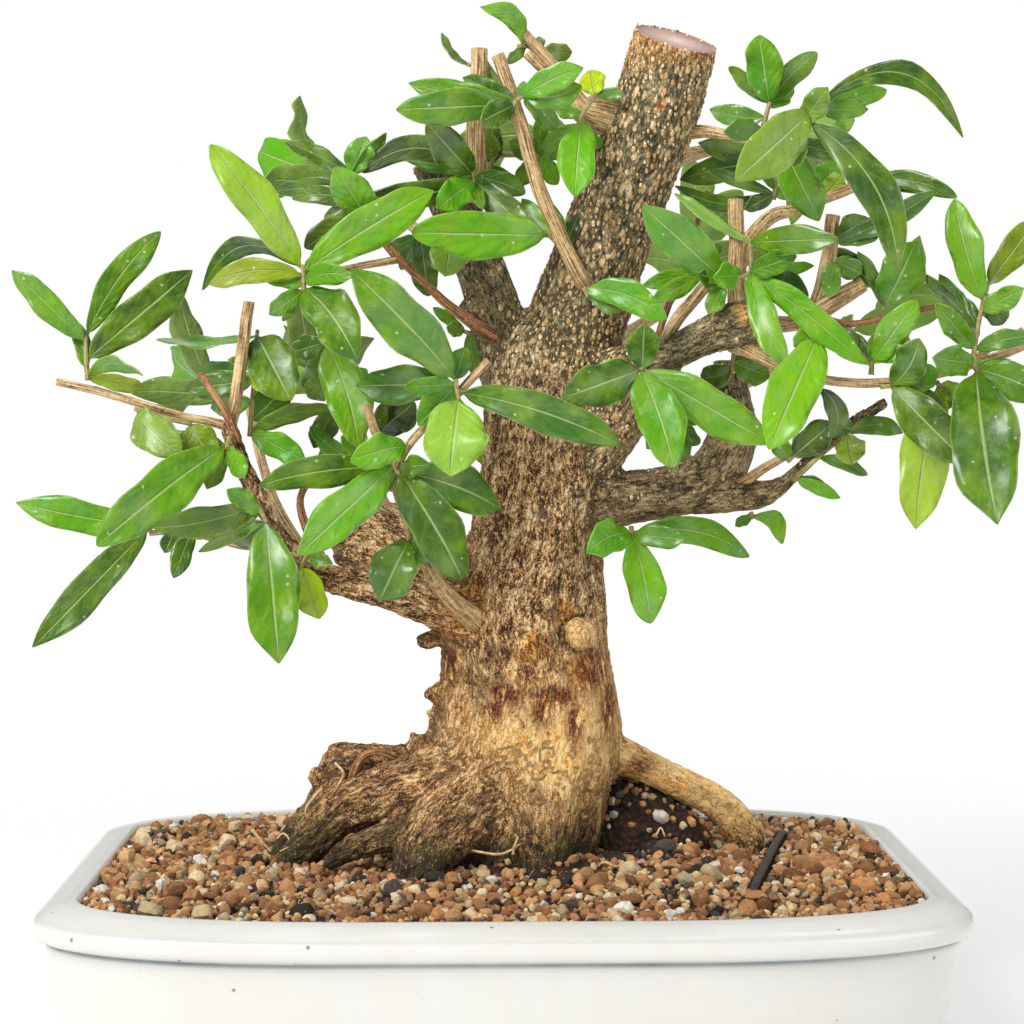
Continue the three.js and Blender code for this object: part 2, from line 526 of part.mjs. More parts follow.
// Each shoot has a stem through [x, z, y] and its leaves as
// [base x, base z, tip x, tip z, width, tip y, bow, arch, roll].
const SHOOTS = {
  far_left: {
    stem: [[-147.3, 242, -33.5], [-148, 250, -33], [-148, 258, -32]],
    leaves: [
      [-149, 256, -174, 281, 9.5, -36, 0, 2], [-147.5, 257, -121, 295, 10.5, -30, 2.5, 2],
      [-146, 249, -110, 281, 14.5, -44, 0, 2], [-146.5, 243.5, -128.5, 243, 7, -46, 5, 0, 40],
      [-148.5, 246, -151, 263, 6, -26, 0, 0], [-146, 242.5, -127, 239.5, 6, -22, 0, 1],
    ],
  },
  left_bud: {
    stem: [[-110.5, 226.5, -33.5], [-120, 228.5, -34], [-131, 231.8, -34.5]],
    leaves: [[-131, 232, -114.5, 216, 14, -44, -2, 2], [-111.5, 227, -103, 212, 12, -42, 0, 1]],
  },
  left_upright: {
    stem: [[-90, 222, -23], [-88.5, 240, -24], [-87, 260, -25]],
    leaves: [
      [-87, 258, -75.5, 235, 18, -38, 0, 2], [-87, 256, -84, 249, 7, -34], [-88, 247, -86, 238, 6, -28],
      [-88, 262, -123, 257, 6, -20, 2, 0, 55], [-88, 241, -112, 239, 10, -20],
      [-88.5, 244, -108, 247, 8, -14], [-90, 228, -76, 240, 12, -18],
      [-90, 223, -60.5, 232, 7.5, -22, 2, 0, 30], [-90, 221, -70, 213, 9.5, -26],
      [-89, 236, -104, 232, 8, -12],
    ],
  },
  upper_left: {
    stem: [[-70.5, 273.5, -43], [-70.5, 278, -43.5], [-71, 283, -43]],
    leaves: [
      [-71, 281, -103.5, 325.5, 14, -50, -1, 3], [-71, 281, -107, 273.5, 8, -30, -12, 0, -20],
      [-72, 279, -104.5, 276, 9, -52, -3, 2], [-70, 276.5, -53.5, 279, 8, -54, 2, 1],
      [-70.5, 275, -52, 250, 16.5, -58, 2, 3], [-71.5, 274, -82.5, 265.5, 7.5, -52],
      [-71, 275, -78, 263, 4, -44], [-70.5, 281, -62, 285, 7, -40],
      [-69, 281, -24, 309.5, 15.5, -52, 1, 2],
      [-71, 276, -86, 281, 7, -38],
    ],
  },
  left_crown: {
    stem: [[-44.5, 294, -27.5], [-50, 304, -27], [-54, 316, -26]],
    leaves: [
      [-45, 295, -59, 317.5, 13.5, -38, 0, 1], [-53, 315, -48, 328.5, 10, -24],
      [-53, 316, -40.5, 329.5, 6, -28, 0, 0, 30], [-54, 316, -77, 326.5, 7, -22, -1, 0, 20],
      [-52, 310, -80.5, 309, 7.5, -18, -1, 0], [-50, 303, -75, 306.5, 7, -10, -3, 0],
      [-49, 302, -70, 289, 10, -22], [-47, 298, -66, 284, 8, -8], [-50, 304, -64, 298, 8, 0],
    ],
  },
  upper_limb: {
    stem: [[-9.5, 311, -18.5], [-10, 314, -21], [-10.5, 317.5, -22]],
    leaves: [
      [-10, 315, -26.5, 333, 12.5, -34, 0, 2], [-10, 313, -22.5, 303.5, 11.5, -34],
      [-10, 313, 9.5, 295.5, 11, -24, 0, 1], [-9.5, 314, 8.5, 308.5, 8.5, -20, 1, 1],
      [-10.5, 316, -49.5, 316, 9.5, -30, -8, 0], [-10.5, 315, -40, 325.5, 6, -22, 1, 0],
      [-10, 314, -48, 307.5, 10, -24, 3, 0], [-9.5, 312, -7, 303.5, 4.5, -30],
    ],
  },
  upper_inner: {
    stem: [[-4.5, 312, -6], [-3, 321, -5], [4, 322, -6], [13.5, 322, -8]],
    leaves: [
      [-4, 318, -3.5, 333.5, 8.5, -4], [-3, 320, -4.5, 329.5, 6.5, -10],
      [-4, 319, 5, 310.5, 5, -12, 0, 0],
      [12, 320, 3, 327, 8.5, -14], [13.5, 322, 14.5, 337, 5.5, -12], [13, 321, 27, 322, 8, -12, 2],
      [12, 320, 6, 311, 7, -10], [13, 321, 20, 312, 7, -8],
    ],
  },
  top_left: {
    stem: [[4, 337.5, -36], [5, 341, -36.5], [8, 343, -37]],
    leaves: [
      [4.5, 340, -37.5, 338, 12.5, -42, 0, 2], [4.5, 340, -7, 334, 9.5, -48],
      [7, 342, 29, 353, 9.5, -48, 1, 2],
      [8, 342.5, 28.5, 346.5, 9.5, -42, -2, 1], [8, 342, 19.5, 331, 8, -34, 1, 1],
      [4.5, 341.5, -33.5, 347.5, 9, -28, 1, 1], [5, 341.5, -14, 349.5, 7, -24], [7, 343, 8, 348, 4, -38],
    ],
  },
  top: {
    stem: [[13.5, 357.5, -16], [9.8, 360.4, -15], [6, 360.5, -21]],
    leaves: [
      [8, 359.5, -7.5, 374, 7.5, -26, -5, 1], [13, 358, 25.5, 358.5, 7, -8],
      [13.5, 357.5, 13.5, 364, 4, -8],
      [9, 360.5, 2, 354.5, 4, -22],
    ],
  },
  tip_left: {
    stem: [[-4.2, 352, -14], [-8, 353, -11.5], [-12, 354, -14]],
    leaves: [[-11.8, 354, -21, 365.3, 3.5, -12, 2, 0, 40], [-4.5, 352, -3.5, 340.5, 3.5, -14]],
  },
  leader_knob: {
    stem: [[28.5, 331, -24], [28, 335, -28], [31, 340, -28], [34, 344.3, -25]],
    leaves: [
      [28, 334, 26, 307.5, 13.5, -38, 0, 2], [28.5, 333, 14, 324, 7, -20],
      [29, 331.5, 35, 324.5, 6, -24],
      [33, 343, 31.5, 352, 9.5, -26], [34, 344, 43.5, 343.5, 4.5, -32], [29, 336, 19, 338, 5, -26],
    ],
  },
  front_twig: {
    stem: [[25, 283, -20], [21.5, 289, -22], [16.5, 294, -24.5]],
    leaves: [
      [17, 293.5, -31.5, 294.5, 17, -40, 0, 2], [18, 293, 7, 307, 6.5, -20],
      [24, 286, 17.5, 305.5, 5.5, -16, 0, 0],
      [22, 288, 28, 302, 5, -18],
    ],
  },
  hanging_dark: {
    stem: [[-17, 293, -15], [-24, 294, -18], [-31, 293, -19]],
    leaves: [
      [-18, 293, -20, 279.5, 14.5, -26], [-29, 293, -26, 271.5, 10, -12], [-31, 293, -41, 288, 5, -19],
      [-30, 292, -36, 281, 6, -14],
    ],
  },
  limb_base: {
    stem: [[-10.5, 258.5, -9], [-13.5, 259.5, -9.5]],
    leaves: [
      [-13, 259.5, -19.5, 261, 5.5, -13], [-13.5, 260, -24.5, 268, 4.5, -10],
      [-12, 259, -9, 243, 6, -8],
    ],
  },
  pale_leaves: {
    stem: [[-16.5, 242.5, -46.5], [-16, 239, -46.5], [-15.3, 235, -47]],
    leaves: [
      [-16.5, 242, -53.5, 281, 17.5, -60, -1, 3], [-16, 242, -13, 254, 7.5, -44],
      [-16, 241, -34.5, 239.5, 6.5, -56],
      [-16, 240, -30, 226, 10.5, -50], [-15.5, 235.5, -18.5, 208, 22, -58, 0, 2],
      [-15.5, 237.5, 43.5, 218.5, 13.5, -58, 2.5, 3], [-16.5, 241, -52.5, 240, 13.5, -34],
      [-15.4, 236, -7, 211.5, 5.5, -40],
    ],
  },
  cut_twig: {
    stem: [[-36, 208, -45.5], [-38.5, 212, -46], [-33, 219, -47]],
    leaves: [
      [-33, 218.5, -54, 213, 11.5, -58, -1, 2], [-38, 211, -87, 204.5, 11.5, -46, -2, 2],
      [-38.5, 211, -73, 179.5, 15, -60, 0, 2], [-36.5, 210, -14, 170.5, 17.5, -52, 1, 3],
      [-36, 210, -26, 211.5, 7.5, -50, 1], [-36.5, 209, -0.5, 196, 16, -42, 2, 2],
      [-37, 210, -57, 193.5, 9.5, -50],
    ],
  },
  left_middle: {
    stem: [[-59.3, 231.5, -3], [-62, 243, -10], [-63, 257, -20]],
    leaves: [
      [-63.5, 256.5, -51.5, 218.5, 16, -34, 2, 2], [-63, 256, -75, 252, 9, -14],
      [-63, 252, -70, 238, 8.5, -6],
      [-62, 242, -69.5, 236.5, 9.5, -12], [-60, 233, -67, 218, 9.5, -14], [-60, 234, -48, 246, 9, 2],
      [-61, 238, -50, 228, 9, 0], [-62, 250, -56, 262, 9, -6],
    ],
  },
  behind_twig: {
    stem: [[-44.5, 204, -12], [-44.5, 213, -14], [-44.5, 224, -16]],
    leaves: [
      [-44.5, 222, -31.5, 234, 13, -22], [-44.5, 223, -42, 234, 5, -26],
      [-44.5, 206, -35, 208.5, 7, -22],
      [-44.5, 209, -52, 206, 8, -24], [-44.5, 213, -68.5, 225.5, 7, -14, 3],
      [-44.5, 205, -37, 203.5, 4, -18],
      [-44.5, 212, -57, 222, 8, -24],
    ],
  },
  low_left: {
    stem: [[-108, 188.8, -24], [-117, 190.5, -24.5], [-126.5, 189.8, -25]],
    leaves: [
      [-126.5, 189.5, -168, 146.5, 12.5, -40, 0, 2], [-126, 190, -173.5, 198.5, 12, -24, 1, 2],
      [-126, 190, -121, 200.5, 5.5, -30], [-121, 190, -112, 205, 6.5, -20],
      [-110, 189, -117.5, 171.5, 7.5, -32],
      [-116.5, 190, -120.5, 180.5, 7, -32], [-126, 189.5, -138, 184, 5, -36],
      [-126, 190, -133, 197, 6, -14],
    ],
  },
  left_front: {
    stem: [[-97, 222, -34.5], [-98.5, 217.5, -36]],
    leaves: [
      [-98, 218.5, -144, 183.5, 17, -54, -1, 3], [-98, 219, -127, 218, 8, -36, -2],
      [-98, 218, -105.5, 203, 7, -34],
      [-97.5, 219, -92, 207, 7, -40], [-98, 218, -107, 207, 5, -28],
    ],
  },
  left_hanging: {
    stem: [[-87.5, 198.5, -33.5], [-84, 191, -35.5]],
    leaves: [
      [-83.5, 191, -80, 141, 19, -50, 0, 2], [-87.5, 197.5, -124.5, 189.5, 10.5, -44, 2, 1],
      [-86, 195, -113.5, 186, 7, -32], [-84.5, 192, -95, 183, 9.5, -30, 0, 1],
      [-84.5, 192, -109, 180.5, 4.5, -28],
      [-86, 195, -98, 203, 7, -38],
    ],
  },
  small_oval: {
    stem: [[-33, 188.5, -43.5], [-33.5, 184.5, -44.5]],
    leaves: [[-33.3, 184.8, -44, 163, 16.5, -52, 0, 2], [-33.2, 187, -26.5, 176, 6.5, -44]],
  },
  low_limb: {
    stem: [[-69.5, 180, -31.5], [-72, 175, -32.5]],
    leaves: [
      [-70, 179, -61, 176.5, 5.5, -36], [-72, 175.5, -65.5, 156.5, 11, -34],
      [-71, 177, -80, 168, 8, -34],
    ],
  },
  right_top: {
    stem: [[99.5, 325.2, -42], [104, 330, -48], [108, 334.5, -51.5], [111.5, 338.8, -53]],
    leaves: [
      [109, 335.5, 84, 313.5, 16.5, -66, 0, 2], [107, 333, 142, 280.5, 13.5, -72, 8, 2],
      [111, 338, 165, 328.5, 8.5, -64, 17, 0], [104, 330, 104.5, 318.5, 8.5, -56],
      [111, 338, 137.5, 345.5, 8, -46],
      [110, 337, 131, 338.5, 7, -50], [106, 332, 116, 346, 9, -40],
      [100, 326, 113.5, 299, 13.5, -50, 0, 2],
      [101, 327, 121.5, 322, 7, -36],
    ],
  },
  right_crown: {
    stem: [[92.5, 330, -29], [94, 335, -29.5], [95.5, 341, -30]],
    leaves: [
      [95, 340, 91.5, 364.5, 13, -34, 0, 1], [95, 340, 112.5, 359, 8.5, -30, 1],
      [95, 340, 81, 353.5, 5.5, -26],
      [93, 331, 79.5, 330.5, 8, -42], [94, 335, 74, 338.5, 7.5, -22, 1], [95, 339, 104, 347, 7, -20],
    ],
  },
  right_inner: {
    stem: [[97, 306.5, -5.5], [98, 313, -7], [95.5, 323, -8]],
    leaves: [
      [97, 308, 74, 317, 5, -14, 0, 0, 20], [97, 308, 62, 311.5, 6.5, -24, 5, 0, 20],
      [96, 320, 63.5, 313.5, 10, -16, -1], [97.5, 310, 91, 321.5, 4, -14],
      [96, 322, 70, 326.5, 8, -14, 1],
      [97, 308, 87, 303, 6, -12], [97, 308, 106, 309.5, 6, -10],
    ],
  },
  right_bud: {
    stem: [[79, 276, -34], [84, 278.5, -36.5], [89, 281, -35], [88.5, 292.5, -33]],
    leaves: [
      [80, 277, 50.5, 304, 15, -48, 0, 2], [88.5, 292.5, 119.5, 292.5, 10.5, -50, 0, 2],
      [88.5, 291, 62, 309.5, 5, -22, 1, 0, 30], [89, 281, 105, 286.5, 8.5, -42],
      [87, 280, 112, 283, 5, -30], [85, 279, 76.5, 279, 9.5, -48], [80, 276.5, 70.5, 280, 8, -40],
      [79.5, 276, 74, 266, 7, -38], [89, 280, 101.5, 247, 10, -52, -1, 2],
      [88.5, 279.5, 130, 248, 10, -56, 1, 2],
      [89, 280, 110, 272, 11, -38],
    ],
  },
  limb_front: {
    stem: [[52, 248, -33.5], [49.5, 245.5, -37]],
    leaves: [
      [50.5, 246, 97, 219, 15.2, -44, 0, 1.5], [49.6, 247, 51, 261.5, 11.6, -40],
      [49.5, 246, 22.5, 236, 15.6, -47, 0, 1.5], [50, 245.5, 61.5, 211.5, 16.6, -49, 1, 1.5],
    ],
  },
  limb_under: {
    stem: [[61.2, 229.3, -26.5], [61.5, 225, -26]],
    leaves: [
      [61.3, 228, 64.5, 212.5, 10, -20], [61.3, 228.5, 74, 228.5, 6, -24],
      [61.4, 226, 52, 217.5, 8, -24],
      [61.4, 227, 71, 219, 6, -22],
    ],
  },
  leader_leaf: {
    stem: [[29.5, 275, -28], [31, 271.5, -29]],
    leaves: [[29.6, 274.5, 58.5, 264, 11, -40, 3, 1], [30.5, 273, 42, 266, 5, -30]],
  },
  right_back: {
    stem: [[72, 279.5, -14], [72.5, 283, -12]],
    leaves: [
      [72, 280, 50, 275.5, 6, -12, -1], [72, 279.5, 54.5, 270.5, 7, -22], [72.5, 283, 70, 291, 5, -14],
      [72.5, 282.5, 78, 291, 5, -8],
    ],
  },
  right_twig: {
    stem: [[119, 284, -34], [119.6, 292, -35]],
    leaves: [
      [119.5, 291, 155.5, 309.5, 7.5, -40, -1, 1], [119.6, 292, 131, 300.5, 10, -28],
      [119.6, 292, 136.5, 296, 7, -32],
      [119.3, 290, 134, 275, 7.5, -26], [119, 285, 129, 280, 8, -38], [119, 285, 117, 272, 7, -40],
    ],
  },
  right_disc: {
    stem: [[113, 306.3, 4.5], [121, 309.5, 5], [131, 313.3, 5]],
    leaves: [
      [114, 307, 118.5, 320, 11, 4], [116, 308, 121.5, 315.5, 8, -4],
      [130, 312.5, 120.3, 336.5, 6.5, -4, 3, 0, 20],
      [131, 313, 162.5, 307.5, 7.5, -10, 3], [131, 313, 157.5, 310, 5, 0], [114, 307, 107, 312, 7, 6],
    ],
  },
  right_spur: {
    stem: [[132.5, 244, -39.5], [132.8, 249, -40]],
    leaves: [
      [132.6, 247, 112, 264.5, 5.5, -44, 2, 0, 20], [132.6, 247, 123, 260, 7, -32],
      [132.8, 249, 134.5, 259.5, 5, -44],
      [132.8, 249, 149, 250.5, 6, -48, 2], [132.8, 249, 148.5, 270.5, 11, -48, 0, 1],
      [132.8, 248.5, 141, 256, 7, -34],
    ],
  },
  right_low: {
    stem: [[136, 239.8, -42], [140, 240, -44]],
    leaves: [
      [139.5, 240, 168, 211.5, 16, -56, 0, 2], [139, 240, 159, 229.5, 12, -46, 0, 1],
      [139.5, 240, 149.5, 257, 12, -46, -2],
      [140, 240, 157, 245.5, 11, -40],
    ],
  },
  right_hanging: {
    stem: [[156, 241.5, -37], [158, 238.8, -36]],
    leaves: [
      [157, 240, 149, 188.5, 17, -38, -1, 2], [157.5, 239.5, 160, 231, 7, -34],
      [157, 240.5, 165, 237, 7, -34],
    ],
  },
  far_right: {
    stem: [[171, 245, -45], [169.3, 249, -46.5], [171, 262, -46], [174.5, 277.5, -44]],
    leaves: [
      [170.5, 246, 178.5, 191.5, 23.5, -78, -1, 3], [170, 247.5, 155.5, 250, 11, -66],
      [170.5, 246, 196, 236, 13.5, -54, 1], [170, 253, 190, 258, 7, -52, 1],
      [170, 248, 187, 243, 9, -38],
      [172.5, 266, 187, 275, 8, -50], [173.5, 271, 162, 307, 12, -50, 1, 2],
      [174.3, 276, 192, 300, 10.5, -46],
      [170, 255, 163, 272.5, 9.5, -38], [169.8, 253, 156, 269, 8, -56],
      [170.5, 257, 156.5, 280.5, 6.5, -30],
      [170.8, 260, 150, 281, 4, -36], [174, 274, 180, 262, 9, -36], [171, 245.5, 180, 234, 8, -40],
    ],
  },
  right_oval: {
    stem: [[136.3, 266.7, -31], [137.3, 268.5, -32]],
    leaves: [[137.3, 268.3, 148.5, 291.5, 16, -36, 0, 1], [137, 268, 127.5, 288, 4.5, -24, -1]],
  },
  right_front: {
    stem: [[112.5, 262.5, -37.5], [113.5, 257.5, -42]],
    leaves: [
      [113.4, 258, 96.5, 218.5, 18, -64, 0, 3], [113, 260, 105, 254, 8, -46],
      [112.8, 262, 122, 258, 7, -40],
    ],
  },
  right_under: {
    stem: [[102.5, 213, -20.5], [106, 216, -20.5]],
    leaves: [
      [104, 214.5, 119, 227, 11, -26], [103, 213.5, 98.5, 222, 7, -24], [105, 215, 108, 223.5, 5, -22],
    ],
  },
  right_curled: {
    stem: [[104.5, 206, -20.5], [115, 215.5, -22], [125, 223.8, -23]],
    leaves: [
      [106, 207, 118.5, 200.5, 5.5, -22, 1], [105, 206.5, 121.5, 200, 5, -26],
      [113, 214, 131.5, 208, 5, -22, 1],
      [123, 222, 126, 212, 11, -30], [125, 223.5, 144.5, 223, 7, -26, 3], [122, 221, 121, 230, 8, -30],
    ],
  },
  curled_leaf: {
    stem: [[112.5, 239.8, -37.5], [114.5, 239.6, -37.5]],
    leaves: [[114, 239.6, 118.5, 221, 7.5, -34, 4], [112.8, 239.7, 98.5, 231, 10, -24]],
  },
  knuckle_back: {
    stem: [[83.5, 253, -17], [82.5, 246.5, -14]],
    leaves: [
      [83, 249, 96, 243, 10, -14], [82.8, 248, 91, 252.5, 6, -12], [82.7, 247.5, 71, 243.5, 9, -8, 2],
    ],
  },
  limb_tip: {
    stem: [[89.5, 194.5, -13], [90.5, 192.5, -14]],
    leaves: [[90, 193.5, 101, 183.5, 7, -18, 4], [90, 193.5, 84, 190, 4, -16]],
  },
  trunk_right: {
    stem: [[46.5, 189.3, -17], [46.8, 186.5, -20]],
    leaves: [
      [46.7, 187, 31, 180.5, 12.5, -42, -2, 1], [46.7, 187.5, 89.5, 178.5, 10.5, -24, 5, 1],
      [46.7, 187, 66, 185, 8.5, -34, 0, 1], [46.8, 186.6, 53.5, 154.5, 14, -28, 1, 2],
    ],
  },
};

// On the far side the shoots go by rule from the ends of their twigs: the twig's end as
// [x, z, y] and the way that the shoot grows as [x, y, z].
const FAR_SHOOTS = [
  { from: [-52, 232, 56], way: [-0.5, 0.6, 0.4] },
  { from: [-46, 308, 48], way: [-0.7, 0.5, 0.3] },
  { from: [22, 330, 46], way: [-0.5, 0.7, 0.1] },
  { from: [94, 330, 48], way: [0.5, 0.8, -0.1] },
  { from: [64, 276, 58], way: [0.3, 0.7, 0.5] },
  { from: [118, 256, 50], way: [0.7, 0.6, 0.3] },
  { from: [-90, 232, 30], way: [-0.6, 0.7, 0.3] },
];
const FAR = { stem: 30, pairs: 2, shortest: 30, longest: 42, slender: 0.32 };

// The point of a stem's axis that lies nearest to a given point, as seen from the front.
function nearestOn(axis, target) {
  const away = (point) => Math.hypot(point.x - target.x, point.z - target.z);
  return axis.reduce((best, point) => (away(point) < away(best) ? point : best));
}

// A leaf as a function of how far its tip is bent back and how much it is grown. Leaves also
// spread to the front and back by a share of their length, which the front elevation hides.
function frontLeaf(row, axis, spread) {
  const [baseX, baseZ, tipX, tipZ, width, tipY, bow = 0, arch = 0, roll = 0] = row;
  const base = nearestOn(axis, seen(baseX, baseZ, axis[0].y));
  const facing = EYE.clone().sub(base);
  const depth = tipY + spread * Math.hypot(tipX - baseX, tipZ - baseZ);
  return (bend, grown) => {
    const tip = seen(tipX, tipZ, depth + bend);
    return blade(base, tip, facing, { width, bow, arch, roll, grown });
  };
}

function frontShoot({ stem, leaves }, index) {
  const random = seededRandom(501 + index);
  const points = stem.map(([x, z, y]) => seen(x, z, y));
  const axis = points.slice(1).flatMap((end, k) => [0.1, 0.3, 0.5, 0.7, 0.9].map(
    (t) => points[k].clone().lerp(end, t)));
  return {
    points,
    leaves: leaves.map((row) => frontLeaf(row, axis, LEAF.spread * (2 * random() - 1))),
  };
}

// Opposite leaves, each pair turned a quarter from the last, and one at the end.
function farShoot({ from, way }, index) {
  const random = seededRandom(31 + index);
  const root = seen(...from);
  const along = new THREE.Vector3(...way).normalize();
  const side = new THREE.Vector3(0, 0, 1).cross(along).normalize();
  const points = [0, 0.5, 1].map((t) => root.clone().addScaledVector(along, t * FAR.stem));
  const leaves = [];
  for (let k = 0; k < 2 * FAR.pairs + 1; k += 1) {
    const pair = Math.floor(k / 2);
    const atEnd = pair === FAR.pairs;
    const base = root.clone()
      .addScaledVector(along, FAR.stem * Math.min(0.95, (pair + 0.9) / FAR.pairs));
    const turn = pair * Math.PI / 2 + (k % 2) * Math.PI + (random() - 0.5) * 0.9;
    const out = side.clone().applyAxisAngle(along, turn);
    const length = THREE.MathUtils.lerp(FAR.shortest, FAR.longest, random());
    const lean = atEnd ? 0.2 : 0.9 + 0.6 * random();
    const span = along.clone().addScaledVector(out, lean).setLength(length);
    const width = length * (FAR.slender + 0.12 * random());
    leaves.push((bend, grown) => blade(
      base, base.clone().add(span).addScaledVector(along, bend), along, { width, arch: 2, grown },
    ));
  }
  return { points, leaves };
}

// Each leaf takes the first bend that keeps it clear of the wood, earlier shoots and later stems.
const BENDS = [0, -4, 4, -8, 8, -12, 12, -17, 17, -23, 23, -30, 30];

function clearLeaf(leaf, obstacles) {
  const bend = BENDS.find((step) => {
    const fat = leaf(step, GAP);
    return !obstacles.some((obstacle) => overlaps(fat, obstacle));
  });
  return bend === undefined ? [] : [leaf(bend, 0)];
}

function stemSolid(points) {
  return tube(points, points.map(() => STEM_RADIUS), 4);
}

function shootSolid({ points, leaves }, obstacles, woodGrown) {
  const blades = leaves.flatMap((leaf) => clearLeaf(leaf, obstacles));
  return largestBody(joined([stemSolid(points), ...blades]).subtract(woodGrown));
}

// ---------------------------------------------------------------- the whole plant

const LEAF_COLOURS = ['#4f7a2b', '#5d8a33', '#466d2a', '#6d9638'];

const plant = new THREE.Group();
const wood = largestBody(woodSolid(0));
const woodGrown = woodSolid(GAP);
plant.add(
  meshOf('pot', potSolid(), '#e4dfd0', 0.3),
  meshOf('drain_screen_left', drainScreen(-POT.drainX), '#2f2f31', 0.7),
  meshOf('drain_screen_right', drainScreen(POT.drainX), '#2f2f31', 0.7),
  meshOf('soil', soilSolid(woodGrown, tieSolid(GAP)), '#6b4a38', 0.95),
  meshOf('anchor_tie', tieSolid(0), '#1d1d1f', 0.6),
  meshOf('trunk', wood, '#8a7358', 0.85),
);

const shoots = [
  ...Object.entries(SHOOTS).map(([name, shoot], index) => [`leaves_${name}`, frontShoot(shoot, index)]),
  ...FAR_SHOOTS.map((shoot, index) => [`leaves_back_${index + 1}`, farShoot(shoot, index)]),
];
const grownShoots = [];
shoots.forEach(([name, shoot], index) => {
  const laterStems = shoots.slice(index + 1).map(([, later]) => stemSolid(later.points));
  const solid = shootSolid(shoot, [wood, ...grownShoots, ...laterStems], woodGrown);
  grownShoots.push(solid);
  plant.add(meshOf(name, solid, LEAF_COLOURS[index % LEAF_COLOURS.length], 0.45));
});

export default plant;
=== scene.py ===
# %% [markdown]
# # A pomegranate bonsai in a glazed tray
#
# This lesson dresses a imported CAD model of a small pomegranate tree, grown as a bonsai in a
# shallow cream tray. The CAD solids give the size and the place of everything. Each cell here
# makes one part of the real thing: the glazed tray, the granules of the soil, the old bark with
# its saw cuts, the young twigs and the glossy leaves.
#
# The first step loads the CAD model as a fixed frame. It could be rebuilt by eye, but then every
# piece would have to be fitted again, so all the pieces below take their places from the frame.

# %% Load the frame
import math

import bpy
import numpy as np
from mathutils import Matrix, Vector, kdtree, noise
from mathutils.bvhtree import BVHTree


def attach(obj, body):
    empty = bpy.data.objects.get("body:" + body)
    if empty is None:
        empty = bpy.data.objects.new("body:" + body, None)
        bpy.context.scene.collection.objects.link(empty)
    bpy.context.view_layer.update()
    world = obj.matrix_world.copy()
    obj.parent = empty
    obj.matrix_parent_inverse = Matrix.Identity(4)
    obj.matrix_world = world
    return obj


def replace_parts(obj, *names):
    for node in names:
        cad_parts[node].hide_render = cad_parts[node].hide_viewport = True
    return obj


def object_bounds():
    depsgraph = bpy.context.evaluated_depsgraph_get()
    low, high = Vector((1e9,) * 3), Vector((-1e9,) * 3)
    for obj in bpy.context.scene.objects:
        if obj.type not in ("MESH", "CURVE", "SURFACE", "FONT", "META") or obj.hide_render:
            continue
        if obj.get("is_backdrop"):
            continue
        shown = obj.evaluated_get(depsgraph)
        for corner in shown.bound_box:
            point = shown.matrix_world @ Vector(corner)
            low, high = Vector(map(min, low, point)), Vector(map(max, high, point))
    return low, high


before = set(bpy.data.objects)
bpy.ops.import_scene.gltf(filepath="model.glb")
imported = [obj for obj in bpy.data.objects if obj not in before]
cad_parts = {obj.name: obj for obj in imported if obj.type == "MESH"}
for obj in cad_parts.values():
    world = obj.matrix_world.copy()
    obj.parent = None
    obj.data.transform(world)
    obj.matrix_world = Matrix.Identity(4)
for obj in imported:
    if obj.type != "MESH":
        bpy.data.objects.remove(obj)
cad_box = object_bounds()
MM = 0.001
print("CAD nodes:", len(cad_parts), "box from", cad_box[0], "to", cad_box[1])

# %% [markdown]
# Blender's operators act on whatever is selected, and a freshly loaded model is all selected.
# Three small helpers keep that in hand: one clears the selection, one selects just the objects
# that the next operator is meant for, and one joins several objects into one piece.

# %% Selecting and joining
def deselect():
    bpy.ops.object.select_all(action="DESELECT")


def activate(piece, *others):
    deselect()
    for one in (piece, *others):
        one.select_set(True)
    bpy.context.view_layer.objects.active = piece
    return piece


def joined(name, parts):
    activate(*parts)
    if len(parts) > 1:
        bpy.ops.object.join()
    whole = bpy.context.object
    whole.name = name
    whole.data.name = name
    return whole


deselect()
print("selected objects:", len(bpy.context.selected_objects))

# %% [markdown]
# Much of the shaping happens in edit mode with the whole mesh selected, or through a modifier.
# Two helpers step into edit mode and out of it, and one adds a modifier and applies it at once.
# Three more read and write a mesh's points, in the millimetres of the tables below.

# %% Edit mode, modifiers and points
MERGE = 1e-6


def edit_all():
    bpy.ops.object.mode_set(mode="EDIT")
    bpy.ops.mesh.select_all(action="SELECT")


def end_edit():
    bpy.ops.object.mode_set(mode="OBJECT")


def applied(piece, kind, **settings):
    activate(piece)
    modifier = piece.modifiers.new(kind.title(), kind)
    for name, value in settings.items():
        setattr(modifier, name, value)
    bpy.ops.object.modifier_apply(modifier=modifier.name)
    return piece


def vectors_of(piece, field):
    values = np.empty(len(piece.data.vertices) * 3)
    piece.data.vertices.foreach_get(field, values)
    return values.reshape(-1, 3)


def point_array(piece):
    return vectors_of(piece, "co") / MM


def set_points(piece, points):
    piece.data.vertices.foreach_set("co", (points * MM).ravel())
    piece.data.update()


print("points closer than", MERGE, "m count as one")

# %% [markdown]
# The tree is looked at from a little above the rim of the tray, with a long lens, so the tray's
# opening shows as a thin band. The camera could aim itself at the middle of the tree, but a fixed
# place keeps its level and its slight turn to the right.

# %% Camera
bpy.ops.object.camera_add(
    location=(-0.01255, -0.7965, 0.2328),
    rotation=(math.radians(87.275), 0, math.radians(-1.169)),
)
camera = bpy.context.object
camera.name = "camera"
camera.data.lens = 78.2
camera.data.sensor_width = 36
camera.data.dof.use_dof = False
bpy.context.scene.camera = camera
print("lens", camera.data.lens, "mm")

# %% [markdown]
# A material in Blender is a net of nodes. Written out one by one, the same few lines come back in
# every material, so one helper adds a node, sets its sockets and links what feeds it. Colours are
# given as the usual six-digit codes and are turned into the linear values that shaders expect.

